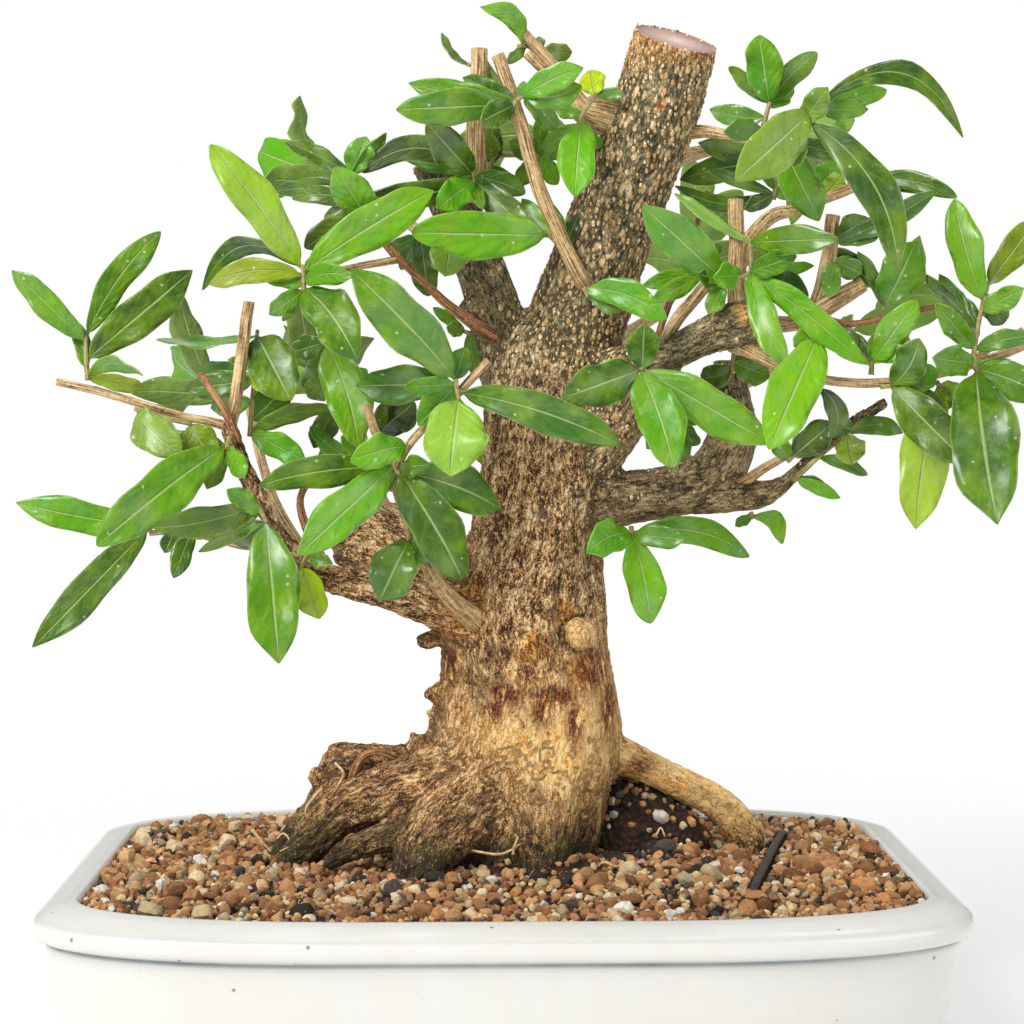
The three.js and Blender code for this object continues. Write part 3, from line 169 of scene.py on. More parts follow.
# %% Colours and nodes
def paint(code):
    steps = [int(code[i:i + 2], 16) / 255 for i in (1, 3, 5)]
    linear = [s / 12.92 if s <= 0.04045 else ((s + 0.055) / 1.055) ** 2.4 for s in steps]
    return (*linear, 1)


def feed(tree, socket, value):
    if isinstance(value, bpy.types.NodeSocket):
        tree.links.new(value, socket)
    else:
        socket.default_value = value


def put(tree, kind, sockets=None, **properties):
    made = tree.nodes.new("ShaderNode" + kind)
    for name, value in properties.items():
        setattr(made, name, value)
    for name, value in (sockets or {}).items():
        feed(tree, made.inputs[name], value)
    return made


print("cream in linear light:", [round(c, 3) for c in paint("#e6e5e0")])

# %% [markdown]
# A few nodes are needed again and again: sums, noises, ranges and bumps. With a helper for each,
# a recipe reads as a list of what happens rather than as a list of sockets.

# %% Sums, noises, ranges and bumps
def math_of(tree, operation, *values):
    return put(tree, "Math", dict(enumerate(values)), operation=operation).outputs[0]


def times(tree, one, other):
    return math_of(tree, "MULTIPLY", one, other)


def scaled(tree, value, factor, start):
    return math_of(tree, "MULTIPLY_ADD", value, factor, start)


def stretched(tree, vector, factors):
    return put(tree, "VectorMath", {0: vector, 1: factors}, operation="MULTIPLY").outputs[0]


def noise_of(tree, vector, scale, detail, roughness=0.5):
    sockets = {"Vector": vector, "Scale": scale, "Detail": detail, "Roughness": roughness}
    return put(tree, "TexNoise", sockets).outputs[0]


def ranged(tree, value, low, high, start, end, kind="LINEAR"):
    sockets = {"Value": value, 1: low, 2: high, 3: start, 4: end}
    return put(tree, "MapRange", sockets, interpolation_type=kind).outputs[0]


def bumped(tree, height, strength, distance, invert=False):
    sockets = {"Height": height, "Strength": strength, "Distance": distance}
    return put(tree, "Bump", sockets, invert=invert).outputs[0]


def place_of(tree):
    return put(tree, "TexCoord").outputs["Object"]


print("a noise that isn't told otherwise has a roughness of 0.5")

# %% [markdown]
# Colours are mixed in three ways: two of them by a share, one tinted towards a plain colour where
# a mask says so, or a whole row of them picked by a number, as from a paint chart. What comes out
# goes into a new material's Principled shader.

# %% Mixing colours
def blend(tree, share, one, other):
    sockets = {0: share, 6: one, 7: other}
    return put(tree, "Mix", sockets, data_type="RGBA").outputs[2]


def tinted(tree, mask, strength, colour, code):
    return blend(tree, times(tree, mask, strength), colour, paint(code))


def ramp(tree, value, stops):
    made = put(tree, "ValToRGB", {"Fac": value})
    points = made.color_ramp.elements
    while len(points) < len(stops):
        points.new(0.5)
    for point, (place, colour) in zip(points, stops):
        point.position = place
        point.color = colour if isinstance(colour, tuple) else (colour, colour, colour, 1)
    return made.outputs[0]


def new_material(name):
    material = bpy.data.materials.new(name)
    material.use_nodes = True
    tree = material.node_tree
    tree.nodes.clear()
    surface = put(tree, "BsdfPrincipled")
    put(tree, "OutputMaterial", {"Surface": surface.outputs[0]})
    return material, tree, surface


def wire(tree, surface, **sockets):
    for name, value in sockets.items():
        feed(tree, surface.inputs[name.replace("_", " ")], value)


def finish(piece, *materials):
    for material in materials:
        piece.data.materials.append(material)


def refinish(piece, material):
    piece.data.materials.clear()
    finish(piece, material)


print("materials before the first one is made:", len(bpy.data.materials))

# %% [markdown]
# Three effects come back in several finishes: small specks, long fibres that run with the grain,
# and soft cloudy patches. Each is a node group with its own inputs, built once and then placed in
# the materials with different values. A group gives out only masks and heights; the shader that
# uses them stays in the material.

# %% Specks and patches
def new_group(name, inputs, outputs):
    group = bpy.data.node_groups.new(name, "ShaderNodeTree")
    group.interface.new_socket("Vector", in_out="INPUT", socket_type="NodeSocketVector")
    for label, value in inputs.items():
        socket = group.interface.new_socket(label, in_out="INPUT", socket_type="NodeSocketFloat")
        socket.default_value = value
    for label in outputs:
        group.interface.new_socket(label, in_out="OUTPUT", socket_type="NodeSocketFloat")
    given, end = group.nodes.new("NodeGroupInput"), group.nodes.new("NodeGroupOutput")
    return group, given.outputs, end.inputs


def specks_group():
    group, given, end = new_group("specks", {"Scale": 400.0, "Share": 0.2}, ["Mask"])
    cells = put(group, "TexVoronoi", {"Vector": given["Vector"], "Scale": given["Scale"]})
    chance = put(group, "SeparateColor", {"Color": cells.outputs["Color"]}).outputs[0]
    chosen = math_of(group, "LESS_THAN", chance, given["Share"])
    near = ranged(group, cells.outputs["Distance"], 0.22, 0.34, 1.0, 0.0)
    feed(group, end["Mask"], times(group, chosen, near))
    return group


def patches_group():
    inputs = {"Scale": 40.0, "Low": 0.45, "High": 0.6}
    group, given, end = new_group("patches", inputs, ["Mask"])
    cloud = noise_of(group, given["Vector"], given["Scale"], 4.0, 0.55)
    mask = ranged(group, cloud, given["Low"], given["High"], 0.0, 1.0, "SMOOTHSTEP")
    feed(group, end["Mask"], mask)
    return group


EFFECTS = {"specks": specks_group(), "patches": patches_group()}
print("shared effects so far:", ", ".join(EFFECTS))

# %% [markdown]
# Fibres are a noise that is squashed lengthways, so its blots become strands. The place it is read
# at wanders a little to the sides, because wood fibres are never quite straight. The gaps between
# them are the thin lines along which a second, broader noise passes its middle value.

# %% Fibres
def fibres_group():
    group, given, end = new_group("fibres", {"Scale": 500.0, "Stretch": 0.2}, ["Height", "Gaps"])
    wander = put(group, "TexNoise", {"Vector": given["Vector"], "Scale": 130.0, "Detail": 2.0})
    aside = stretched(group, wander.outputs["Color"], (0.0026, 0.0026, 0.0))
    wavy = put(group, "VectorMath", {0: given["Vector"], 1: aside}).outputs[0]
    squash = put(group, "CombineXYZ", {0: 1.0, 1: 1.0, 2: given["Stretch"]}).outputs[0]
    long = stretched(group, wavy, squash)
    strands = noise_of(group, long, given["Scale"], 5.0, 0.6)
    cracks = noise_of(group, long, times(group, given["Scale"], 0.34), 3.0)
    ridge = math_of(group, "ABSOLUTE", math_of(group, "SUBTRACT", cracks, 0.47))
    feed(group, end["Height"], strands)
    feed(group, end["Gaps"], ranged(group, ridge, 0.004, 0.042, 1.0, 0.0, "SMOOTHSTEP"))
    return group


EFFECTS["fibres"] = fibres_group()


def effect(tree, name, vector, output=0, **values):
    sockets = {"Vector": vector, **values}
    return put(tree, "Group", sockets, node_tree=EFFECTS[name]).outputs[output]


print("all shared effects:", ", ".join(EFFECTS))

# %% [markdown]
# The tray is thrown or cast stoneware with a thick cream glaze. Seen from above it is a long
# rounded rectangle, and its wall has a banded lip over a groove. It could be a cube with bevelled
# corners, but the lip's curve runs round the corners as one profile, so a flat grid is rolled up
# instead: each row of the grid is the outline at one step of the profile. The same rolling helper
# makes limbs, twigs and stems later. The two faces that close its ends take the second material.

# %% Rolling a grid into a skin
END_FACES = 1


def rolled(name, rings):
    rows, columns = rings.shape[:2]
    deselect()
    bpy.ops.mesh.primitive_grid_add(x_subdivisions=columns, y_subdivisions=rows - 1, size=2)
    skin = bpy.context.object
    skin.name = name
    set_points(skin, np.concatenate([rings, rings[:, :1]], axis=1))
    sides = len(skin.data.polygons)
    edit_all()
    bpy.ops.mesh.remove_doubles(threshold=MERGE)
    bpy.ops.mesh.fill_holes(sides=0)
    bpy.ops.mesh.select_all(action="SELECT")
    bpy.ops.mesh.normals_make_consistent(inside=False)
    end_edit()
    bpy.ops.object.shade_smooth()
    for face in list(skin.data.polygons)[sides:]:
        face.material_index = END_FACES
        face.use_smooth = False
    return skin


print("end faces take material number", END_FACES)

# %% [markdown]
# The outline has straight sides and corners that are a little fuller than an ellipse. The profile
# starts under the foot, climbs the wall, rolls over the lip and drops inside to the tray's floor.
# Each step is how far the wall lies in from the rim, and its height.

# %% The tray
HALF_LENGTH, HALF_DEPTH = 155, 112.5
CORNER_LENGTH, CORNER_DEPTH = 101, 43
ROUNDNESS = 2.2
CORNER_STEPS = 30
PROFILE = [
    (28, 0), (25.5, 0.4), (22.5, 3), (19.5, 6), (17, 9), (14.2, 13.5), (12, 18), (9.8, 24), (8, 30),
    (6.8, 35.5), (5.7, 41), (5, 46), (4.4, 51), (3.9, 55), (3.6, 57.4), (3.9, 58.2), (3.4, 58.8),
    (2.2, 59), (1, 59.7), (0.35, 60.8), (0, 62.5), (0.1, 64.3), (0.6, 65.6), (1.6, 66.5),
    (4, 67.5), (8, 68.8), (11.2, 69.7), (12.3, 70), (13.1, 69.6), (13.5, 68.6), (13.7, 66),
    (14, 58), (14.5, 40), (17, 25), (24, 12), (32, 9),
]
DRAIN_RADIUS, DRAIN_PLACE = 10, 72


def tray_outline(inset, z):
    depth = CORNER_DEPTH - inset / 4
    points = []
    for quarter in range(4):
        side_x = 1 if quarter in (0, 3) else -1
        side_y = 1 if quarter < 2 else -1
        for angle in np.linspace(quarter, quarter + 1, CORNER_STEPS) * math.pi / 2:
            x = abs(math.cos(angle)) ** (2 / ROUNDNESS) * CORNER_LENGTH
            y = abs(math.sin(angle)) ** (2 / ROUNDNESS) * depth
            points.append((
                side_x * (x + HALF_LENGTH - inset - CORNER_LENGTH),
                side_y * (y + HALF_DEPTH - inset - depth),
                z,
            ))
    return points


tray = rolled("tray", np.array([tray_outline(inset, z) for inset, z in PROFILE]))
for side in (-1, 1):
    deselect()
    bpy.ops.mesh.primitive_cylinder_add(
        vertices=32, radius=DRAIN_RADIUS * MM, depth=0.06, location=(side * DRAIN_PLACE * MM, 0, 0))
    drill = bpy.context.object
    applied(tray, "BOOLEAN", operation="DIFFERENCE", object=drill, solver="EXACT")
    bpy.data.objects.remove(drill)
activate(tray)
bpy.ops.object.shade_smooth_by_angle(angle=math.radians(50))
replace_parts(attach(tray, "root"), "pot")
print("tray faces:", len(tray.data.polygons))

# %% [markdown]
# Glaze is a thin coat of glass over clay. Its colour turns blue-grey in bands by height: strongly
# in the groove under the lip, more faintly along the lip's edges and at the very foot. The height
# above the table tells where those bands are, so a colour ramp on the object's own Z gives them,
# broken up by soft patches. Faint buff streaks and a few pin-sized iron specks finish it.

# %% Cream glaze
TRAY_HEIGHT = 70


def glaze_material():
    material, tree, surface = new_material("cream_glaze")
    place = place_of(tree)
    height = put(tree, "SeparateXYZ", {0: place}).outputs[2]
    # blue-grey bands by height: strongest in the groove under the lip, fainter along the lip's
    # edges and at the very foot
    blue_grey_bands = ramp(tree, math_of(tree, "DIVIDE", height, TRAY_HEIGHT * MM), [
        (0.0, 0.35), (0.03, 0.1), (0.6, 0.03), (0.812, 0.12), (0.83, 0.95), (0.843, 0.55),
        (0.862, 0.06), (0.928, 0.05), (0.945, 0.34), (0.962, 0.1), (0.984, 0.08), (0.994, 0.3),
        (1.0, 0.12),
    ])
    runs = put(tree, "Mapping", {"Vector": place, "Scale": (1.0, 1.0, 0.12)}).outputs[0]
    uneven = effect(tree, "patches", runs, Scale=26, Low=0.2, High=0.8)
    streaks = effect(tree, "patches", runs, Scale=60, Low=0.3, High=0.9)
    clouds = effect(tree, "patches", place, Scale=14, Low=0.15, High=0.85)
    iron = effect(tree, "specks", place, Scale=420, Share=0.004)
    colour = tinted(tree, clouds, 0.5, paint("#e6e5e0"), "#e0ddd4")
    colour = tinted(tree, streaks, 0.16, colour, "#d8ccb4")
    colour = tinted(tree, blue_grey_bands, scaled(tree, uneven, 0.75, 0.4), colour, "#8f9ba3")
    colour = tinted(tree, iron, 0.75, colour, "#6f5a41")
    orange_peel = bumped(tree, noise_of(tree, place, 90.0, 2.0), 0.12, 0.002)
    wire(tree, surface, Base_Color=colour, Roughness=scaled(tree, clouds, 0.1, 0.2),
         Normal=orange_peel, Coat_Weight=0.35, Coat_Roughness=0.12)
    return material


refinish(tray, glaze_material())
tray.data.polygons.foreach_set("material_index", [0] * len(tray.data.polygons))
print("tray finish:", tray.data.materials[0].name)

# %% [markdown]
# Under the soil a square of plastic mesh covers each drain hole, and a plastic-sheathed wire lies
# across the soil at the right. Their CAD solids already have the right shape, so they keep it and
# only get a finish: moulded black plastic with a fine rub of dust.

# %% Black plastics
def plastic_material(name, colour, dusty):
    material, tree, surface = new_material(name)
    place = place_of(tree)
    dust = effect(tree, "patches", place, Scale=130, Low=0.42, High=0.66)
    grain = bumped(tree, noise_of(tree, place, 1400.0, 3.0), 0.25, 0.0004)
    wire(tree, surface, Base_Color=tinted(tree, dust, dusty, paint(colour), "#7d6652"),
         Roughness=scaled(tree, dust, 0.3, 0.42), Normal=grain)
    return material


screen_plastic = plastic_material("screen_plastic", "#232427", 0.2)
for name in ("drain_screen_left", "drain_screen_right"):
    refinish(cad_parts[name], screen_plastic)
refinish(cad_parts["anchor_tie"], plastic_material("tie_sheath", "#1b1b1d", 0.35))
print("refinished: 2 screens and the tie")

# %% [markdown]
# The tree is measured in its front elevation: a place is given as how far it lies to the side,
# how high, and how deep. Because a camera sees nearer things larger, a place that comes forward is
# drawn in towards the eye, so that it keeps its spot in the elevation. Every table below is in
# millimetres and goes through this one function. The long tables are text, because it is shorter
# to read than nested brackets, and two helpers turn them into numbers.

# %% Places in the front elevation
EYE = Vector((-12.5, -796.5, 232.8))


def seen(x, z, y):
    return EYE.lerp(Vector((x, 0, z)), (y - EYE.y) / -EYE.y)


def numbers(text):
    return [tuple(float(number) for number in row.split()) for row in text.split(",")]


def paths_of(text):
    return [numbers(path) for path in text.split(";")]


print("a twig tip 30 mm forward:", seen(100, 300, -30))

# %% [markdown]
# The trunk is an old, thick column that widens into a flare of roots. Its table gives the left
# and right edge and half the depth at each height. Roots are round, so each is a path of places,
# with the radius after its place in the elevation and its depth. A comma ends a place and a
# semicolon a path.

# %% Tables of trunk and roots
TRUNK = [
    (24, -8, 8, 8), (58, -26, 25, 24), (74, -36, 35, 32), (90, -31.5, 38, 32), (104, -29.3, 42, 31),
    (118, -26.5, 43.5, 29), (132, -22, 41.5, 28), (146, -21.5, 38.8, 27), (158, -23, 38, 27),
    (170, -19, 36.5, 27), (184, -12, 35.5, 26.5), (204, -8, 36, 26), (224, -7, 37.5, 24),
    (244, -6, 41, 22), (258, -3, 42, 18), (264, 6, 39, 15),
]
# great left root, broken root and its two ends, front feet, side root, the bare arched root at
# the right, feet behind the trunk, and two that run on through the soil
ROOTS = paths_of("""
-8 106 -6 15, -24 98 -12 13, -42 93 -14 11, -57 87 -13 9.5, -70 75 -9 7.5, -80 62 -4 4;
-16 103 6 9, -34 103 12 8, -50 104 14 8, -61 105 15 7.5, -64 106 15 5;
-54 104 14 5, -64 100 14 5, -69 97 13 3;
-58 98 14 7, -68 88 12 5, -76 78 10 4.5, -84 66 8 3;
-2 98 -14 17, -14 86 -24 14, -24 77 -31 12, -32 64 -37 8, -38 52 -40 3;
12 96 -14 18, 14 84 -24 14, 14 72 -30 11, 16 58 -34 6;
-30 84 -22 7, -42 78 -30 5.5, -54 74 -32 5, -64 66 -30 3.2;
26 114 0 9, 40 108 2 7.5, 52 103 5 6.4, 64 97 9 6.2, 75 91.5 13 6.2, 83 85 16 6.3, 89.5 75 18 6,
92 62 19 3.5;
10 100 14 16, 24 86 28 12, 34 72 42 9, 44 58 54 4;
-6 100 14 15, -22 86 30 11, -32 72 44 8, -42 58 54 3.5;
-10 56 -8 9, -84 36 -34 1.5;
10 56 8 9, 90 34 40 1.5""")
print("trunk heights:", len(TRUNK), "root paths:", len(ROOTS))

# %% [markdown]
# The limbs and the sawn leader are paths of the same kind. Knobs are single lumps, and spurs are
# what is left of suckers that were torn off the trunk.

# %% Tables of limbs, knobs and spurs
# leader, upper left limb, great sawn stub, low left limb, two right limbs and a spur
LIMBS = paths_of("""
18 232 2 18, 24 254 0 18, 34.5 285 -5 16.3, 48 320 -11 15.3, 56 342 -15 15.2, 64 370 -20 14.6;
8 232 2 13, 0 258 -1 10.5, -6 278 -3 9, -14 297 -4 8.6, -24 321 -5 8.7;
-2 160 0 18, -18 170 2 16.5, -34 179 4 15.3, -48 185.5 5 13.8, -58 184.5 5 9.5, -61 184 5 7;
-14 158 -14 10, -32 164 -20 7.5, -50 168 -22 5.6, -66 173 -24 4.6, -76 182 -26 3.6,
-83 192 -28 3.2, -90 207 -29 3.1, -96 221 -30 3.2, -98 228 -30 2.8;
30 240 -8 9, 47 248.5 -18 6.6, 60 251.5 -23 6.2, 74 258 -27 6.6, 85 262 -29 8.8, 93 263.5 -30 7.4;
24 196 -2 12, 44 200 -6 9.6, 58 202 -8 9.2, 70 204.5 -8 9.4, 79 212 -4 9.3, 83.5 225 1 8.4,
82 240 6 6.6, 82 250 8 6;
72 201 -9 7, 84 201 -11 6, 93 201 -13 5.2, 100 204 -15 3.6, 107 210 -17 2.5, 116 218.5 -18 2.4,
126 226.5 -19 2.3, 138.5 234.5 -20 2.2;
20 205 -2 15, 33 219 -7 12.5, 46 234 -13 10, 60 249 -21 6.5""")
# x, height, depth, radius
KNOBS = [
    (28.3, 151, -25, 5.4), (10, 146, -26.5, 4.2), (66, 212, -14, 4), (-11, 267, -9, 4.6),
    (56.6, 205.5, -15, 3),
]
# torn stubs of old suckers down the trunk's left side
SPURS = paths_of("""
-14 150 -4 4.5, -22 149.4 -4 3, -27 148.8 -4 2.7, -30.5 148.4 -4 1.5;
-14 130 -6 6, -21 129.5 -6 4.2, -25 129.2 -6 3, -28 129 -6 1.5;
-16 122 -6 5, -22 122.3 -6 3.4, -28 122.5 -6 1.7;
-24 110 -8 4, -29 113 -8 2.4, -34 115.5 -8 1.6;
-26 106 -8 4, -32 108.5 -8 2, -38 112 -8 1.5""")
print("limbs:", len(LIMBS), "knobs:", len(KNOBS), "spurs:", len(SPURS))

# %% [markdown]
# A limb made only of its few measured places would look like bent pipe. A Catmull-Rom curve runs
# through the same places without corners, and the radius is eased in between in the same way.
# Rings are then set square to the path, each turned as little as possible from the last, so that
# the grain doesn't twist.

# %% Smooth paths and rings
def smooth_path(stations, per_span=5, look=seen):
    knots = np.array([(*look(x, z, y), r) for x, z, y, r in stations])
    ends = np.vstack([2 * knots[0] - knots[1], knots, 2 * knots[-1] - knots[-2]])
    path = []
    for a, b, c, d in zip(ends, ends[1:], ends[2:], ends[3:]):
        for t in np.arange(per_span) / per_span:
            path.append(0.5 * (2 * b + (c - a) * t + (2 * a - 5 * b + 4 * c - d) * t * t
                               + (3 * b - a - 3 * c + d) * t ** 3))
    return np.vstack([path, knots[-1:]])


def ring_frames(path):
    along = np.gradient(path[:, :3], axis=0)
    along /= np.linalg.norm(along, axis=1)[:, None]
    side = np.array([0.31, 0.89, 0.33])
    frames = []
    for way in along:
        side = side - way * side.dot(way)
        side /= np.linalg.norm(side)
        frames.append((way, side, np.cross(way, side)))
    return frames


def rings_on(path, sides):
    angles = np.arange(sides) * 2 * math.pi / sides
    rings = []
    for (way, side, up), station in zip(ring_frames(path), path):
        spokes = np.outer(np.cos(angles), side) + np.outer(np.sin(angles), up)
        rings.append(station[:3] + spokes * station[3])
    return np.array(rings)


print("places on the leader's path:", len(smooth_path(LIMBS[0])))

# %% [markdown]
# The trunk isn't round. Its rings are flat and follow the table's edges and depth, and a few
# flutes run up it, where the wood bulges above each root.

# %% Rings of the trunk
RING_STEP = 4
RING_SIDES = 48


def trunk_rings():
    rows = np.array(TRUNK, float)
    angles = np.arange(RING_SIDES) * 2 * math.pi / RING_SIDES
    rings = []
    for z in np.arange(rows[0, 0], rows[-1, 0] + 0.1, RING_STEP):
        left, right, half_depth = (np.interp(z, rows[:, 0], rows[:, k]) for k in (1, 2, 3))
        flute = 1 + 0.035 * np.sin(5 * angles + z / 23) + 0.02 * np.sin(9 * angles - z / 14)
        x = (left + right) / 2 + (right - left) / 2 * np.cos(angles)
        y = half_depth * flute * np.sin(angles)
        rings.append(np.stack([x, y, np.full(RING_SIDES, z)], axis=1))
    return np.array(rings)


print("trunk rings:", trunk_rings().shape[:2])

# %% [markdown]
# Trunk, roots, limbs and knobs are rolled one by one and laid into each other. Joined like that
# they would still show a hard line at every meeting. A voxel remesh turns the whole heap into one
# skin, and a smoothing pass rounds the crotches, as wood does when it grows over them. The flare of
# the roots gets a second, stronger pass, held to that place by a vertex group.

# %% One skin of wood
VOXEL = 1.15
FLARE_RIGHT, FLARE_TOP = 40, 134


def knob(x, z, y, radius):
    deselect()
    bpy.ops.mesh.primitive_ico_sphere_add(
        subdivisions=3, radius=radius * MM, location=seen(x, z, y) * MM)
    lump = bpy.context.object
    bpy.ops.object.transform_apply(location=True, rotation=True, scale=True)
    return lump


WOOD_PATHS = [smooth_path(stations) for stations in ROOTS + LIMBS]
parts = [rolled("trunk_column", trunk_rings())]
parts += [rolled("limb", rings_on(path, 24)) for path in WOOD_PATHS]
parts += [knob(*row) for row in KNOBS]
parts += [rolled("spur", rings_on(smooth_path(stations), 12)) for stations in SPURS]
wood = joined("old_wood", parts)
applied(wood, "REMESH", mode="VOXEL", voxel_size=VOXEL * MM)
applied(wood, "SMOOTH", factor=0.5, iterations=7)
flare = wood.vertex_groups.new(name="flare")
for vertex in wood.data.vertices:
    x, _, z = vertex.co / MM
    if x < FLARE_RIGHT and z < FLARE_TOP:
        weight = min(1.0, (FLARE_TOP - z) / 14, (FLARE_RIGHT - x) / 8)
        flare.add([vertex.index], weight, "REPLACE")
applied(wood, "SMOOTH", factor=0.7, iterations=24, vertex_group="flare")
print("skin of wood:", len(wood.data.polygons), "faces")

# %% [markdown]
# Bark follows the limb it covers. To lay fibres along every limb, each point of the skin needs to
# know where it is on its own limb: how far round, and how far along. That could come from
# unwrapping, but a remeshed skin has no seams to cut. So first every path is written down as a
# table of stations: its place and radius, its three directions, the run along it and its number.
# The runs of two paths lie far apart, so that no two limbs get the same piece of a pattern.

# %% Stations along every path
PLACE, RADIUS, WAY = slice(0, 3), 3, slice(4, 7)
SIDE, UP, RUN, NUMBER = slice(7, 10), slice(10, 13), 13, 14
RUN_APART = 400


def grain_frames():
    rows = np.array(TRUNK, float)
    column = np.stack([(rows[:, 1] + rows[:, 2]) / 2, 0 * rows[:, 0], rows[:, 0],
                       (rows[:, 2] - rows[:, 1] + 2 * rows[:, 3]) / 4], axis=1)
    heights = np.arange(rows[0, 0], rows[-1, 0], RING_STEP)
    column = np.stack([np.interp(heights, column[:, 2], column[:, k]) for k in range(4)], axis=1)
    table = []
    for number, path in enumerate([column] + WOOD_PATHS):
        steps = np.linalg.norm(np.diff(path[:, :3], axis=0), axis=1)
        length = np.concatenate([[0], np.cumsum(steps)]) + RUN_APART * number
        for station, (way, side, up), run in zip(path, ring_frames(path), length):
            table.append([*station, *way, *side, *up, run, number])
    return np.array(table)


stations = grain_frames()
print("stations:", len(stations), "with", stations.shape[1], "numbers each")

# %% [markdown]
# Each point of the skin then looks for the nearest path, measured in that path's own radius, and
# its place in the path's frame is kept as the grain, which the bark's relief and its material both
# read. A noise on that measure makes the border between trunk and limb ragged, so that no seam is
# seen. The points are taken in batches, because all at once they would fill the memory.

# %% Grain along every limb
BATCH = 4000


def laid_on_paths(points, table):
    ragged = 1 + 0.5 * np.array([noise.fractal(Vector(p) / 5, 1.0, 2.0, 3) for p in points])
    on_limb = table[:, NUMBER] > 0
    nearest = np.empty(len(points), int)
    for start in range(0, len(points), BATCH):
        batch = slice(start, start + BATCH)
        gap = np.linalg.norm(points[batch, None, :] - table[None, :, PLACE], axis=2)
        reach = gap / (table[:, RADIUS] + 2)
        nearest[batch] = np.argmin(reach * ragged[batch, None] ** on_limb, axis=1)
    found = table[nearest]
    offset = points - found[:, PLACE]
    ahead, round_x, round_y = (
        np.einsum("ij,ij->i", offset, found[:, way]) for way in (WAY, SIDE, UP))
    grain = np.stack([round_x, round_y, found[:, RUN] + ahead], axis=1)
    return grain, found[:, NUMBER].astype(int)


wood_points = point_array(wood)
grain, path_number = laid_on_paths(wood_points, stations)
print("points with a grain:", len(grain))

# %% [markdown]
# Old bark at the foot is deeply ribbed; the leader and limbs are younger and smoother, with small
# corky bumps. One number from 0 to 1 says how young the bark is, and others mark the bare pale
# patch on the trunk's front and the dark, mossy foot. They fade into each other with height.

# %% Zones of bark
def fade(values, start, end):
    share = np.clip((values - start) / (end - start), 0, 1)
    return share * share * (3 - 2 * share)


def spot(points, x, z, width, height):
    return np.exp(-((points[:, 0] - x) / width) ** 2 - ((points[:, 2] - z) / height) ** 2)


ARCHED_ROOT = 8
FIRST_LIMB = 1 + len(ROOTS)
LEADER, _, STUB, LOW_LEFT = range(FIRST_LIMB, FIRST_LIMB + 4)
heights = wood_points[:, 2]
front = fade(-wood_points[:, 1], -12, 8)
is_limb = path_number >= FIRST_LIMB
rough_limb = np.isin(path_number, (STUB, LOW_LEFT))
young = np.where(is_limb & ~rough_limb, fade(heights, 195, 250), 0.85 * fade(heights, 215, 262))
young = np.where(path_number > LOW_LEFT, np.maximum(young, 0.75), young)
bare = np.clip(spot(wood_points, 22, 112, 19, 19) + 0.75 * spot(wood_points, 34, 132, 12, 20)
               + 0.5 * spot(wood_points, -2, 122, 22, 14), 0, 1) * front
arched_root = path_number == ARCHED_ROOT
bare = np.where(arched_root, 0.95 * fade(heights, 70, 84), bare)
foot = 1 - fade(heights, 76, 104)
foot = np.where(arched_root, 0.25 * foot, foot)
print("young bark points:", int((young > 0.5).sum()), "bare:", int((bare > 0.5).sum()))

# %% [markdown]
# Smaller marks lie on the zones. A round, smooth knob sits on the trunk's front, with an orange
# one beside it, a furrow above and a knot hole far below. Where bark was rubbed or cut it is
# orange, and water has stained the bare wood red-brown. Corky bumps crowd on the leader's middle.

# %% Marks on the bark
# places where the bark is orange, and how far the orange reaches
AMBER = [((10, 146, -27), 9), ((22, 158, -24), 8), ((-13, 160, -22), 15), ((81, 222, -4), 9),
         ((90, 266, -34), 9), ((44, 352, -30), 4), ((57, 340, -30), 3), ((28, 136, -26), 6)]
# places on the bare wood that water has stained red-brown
STAINS = [(31, 141, 10, 9), (37, 126, 4, 12), (18, 132, 11, 5), (14, 127, 5, 6), (1, 133, 9, 5),
          (-3, 128, 4, 5), (-19, 141, 5, 9), (52, 104, 7, 4), (73, 92, 5, 3), (25, 122, 3, 9)]


def distance_to(points, place):
    return np.linalg.norm(points - np.array(place), axis=1)


round_knob, orange_knob = (distance_to(wood_points, seen(*row[:3])) for row in KNOBS[:2])
knot_hole = spot(wood_points, 11.8, 99, 2.6, 2.6) * front
bare = np.maximum(bare, 0.35 * (1 - fade(round_knob, 5.2, 6.6)))
knob = 1 - fade(round_knob, 4.4, 6)
amber = np.where(path_number == LEADER, fade(heights, 345, 358), 0) * (1 - bare)
for middle, reach in AMBER:
    amber = np.maximum(amber, 1 - fade(distance_to(wood_points, seen(*middle)), reach / 3, reach))
amber = amber * (1 - knob)
stain = np.max([spot(wood_points, *place) for place in STAINS], axis=0)
stain = np.clip(1.3 * stain, 0, 1) * front * (1 - knob)
furrow = np.exp(-((wood_points[:, 0] - 19 - 0.1 * (heights - 160)) / 1.7) ** 2) * front * (
    fade(heights, 150, 157) - fade(heights, 170, 186))
leader_x = 20.8 + 0.32 * (heights - 233.8)
corky = 1 - fade(np.abs(wood_points[:, 0] - leader_x), 22, 30)
print("orange points:", int((amber > 0.5).sum()), "stained:", int((stain > 0.5).sum()))

# %% [markdown]
# The relief itself could be sculpted, or come from a Displace modifier, but neither can follow the
# grain of every limb. Here each point moves along its own normal by a sum of noises read at its
# grain place, stretched lengthways: broad flutes, ribs, and a fine crumble. The knob stands out of
# a ring that is pressed in, and the furrow and the knot hole go in too.

# %% Bark relief
def noise_on(coordinates, octaves):
    return np.array([noise.fractal(Vector(c), 1.0, 2.0, octaves) for c in coordinates])


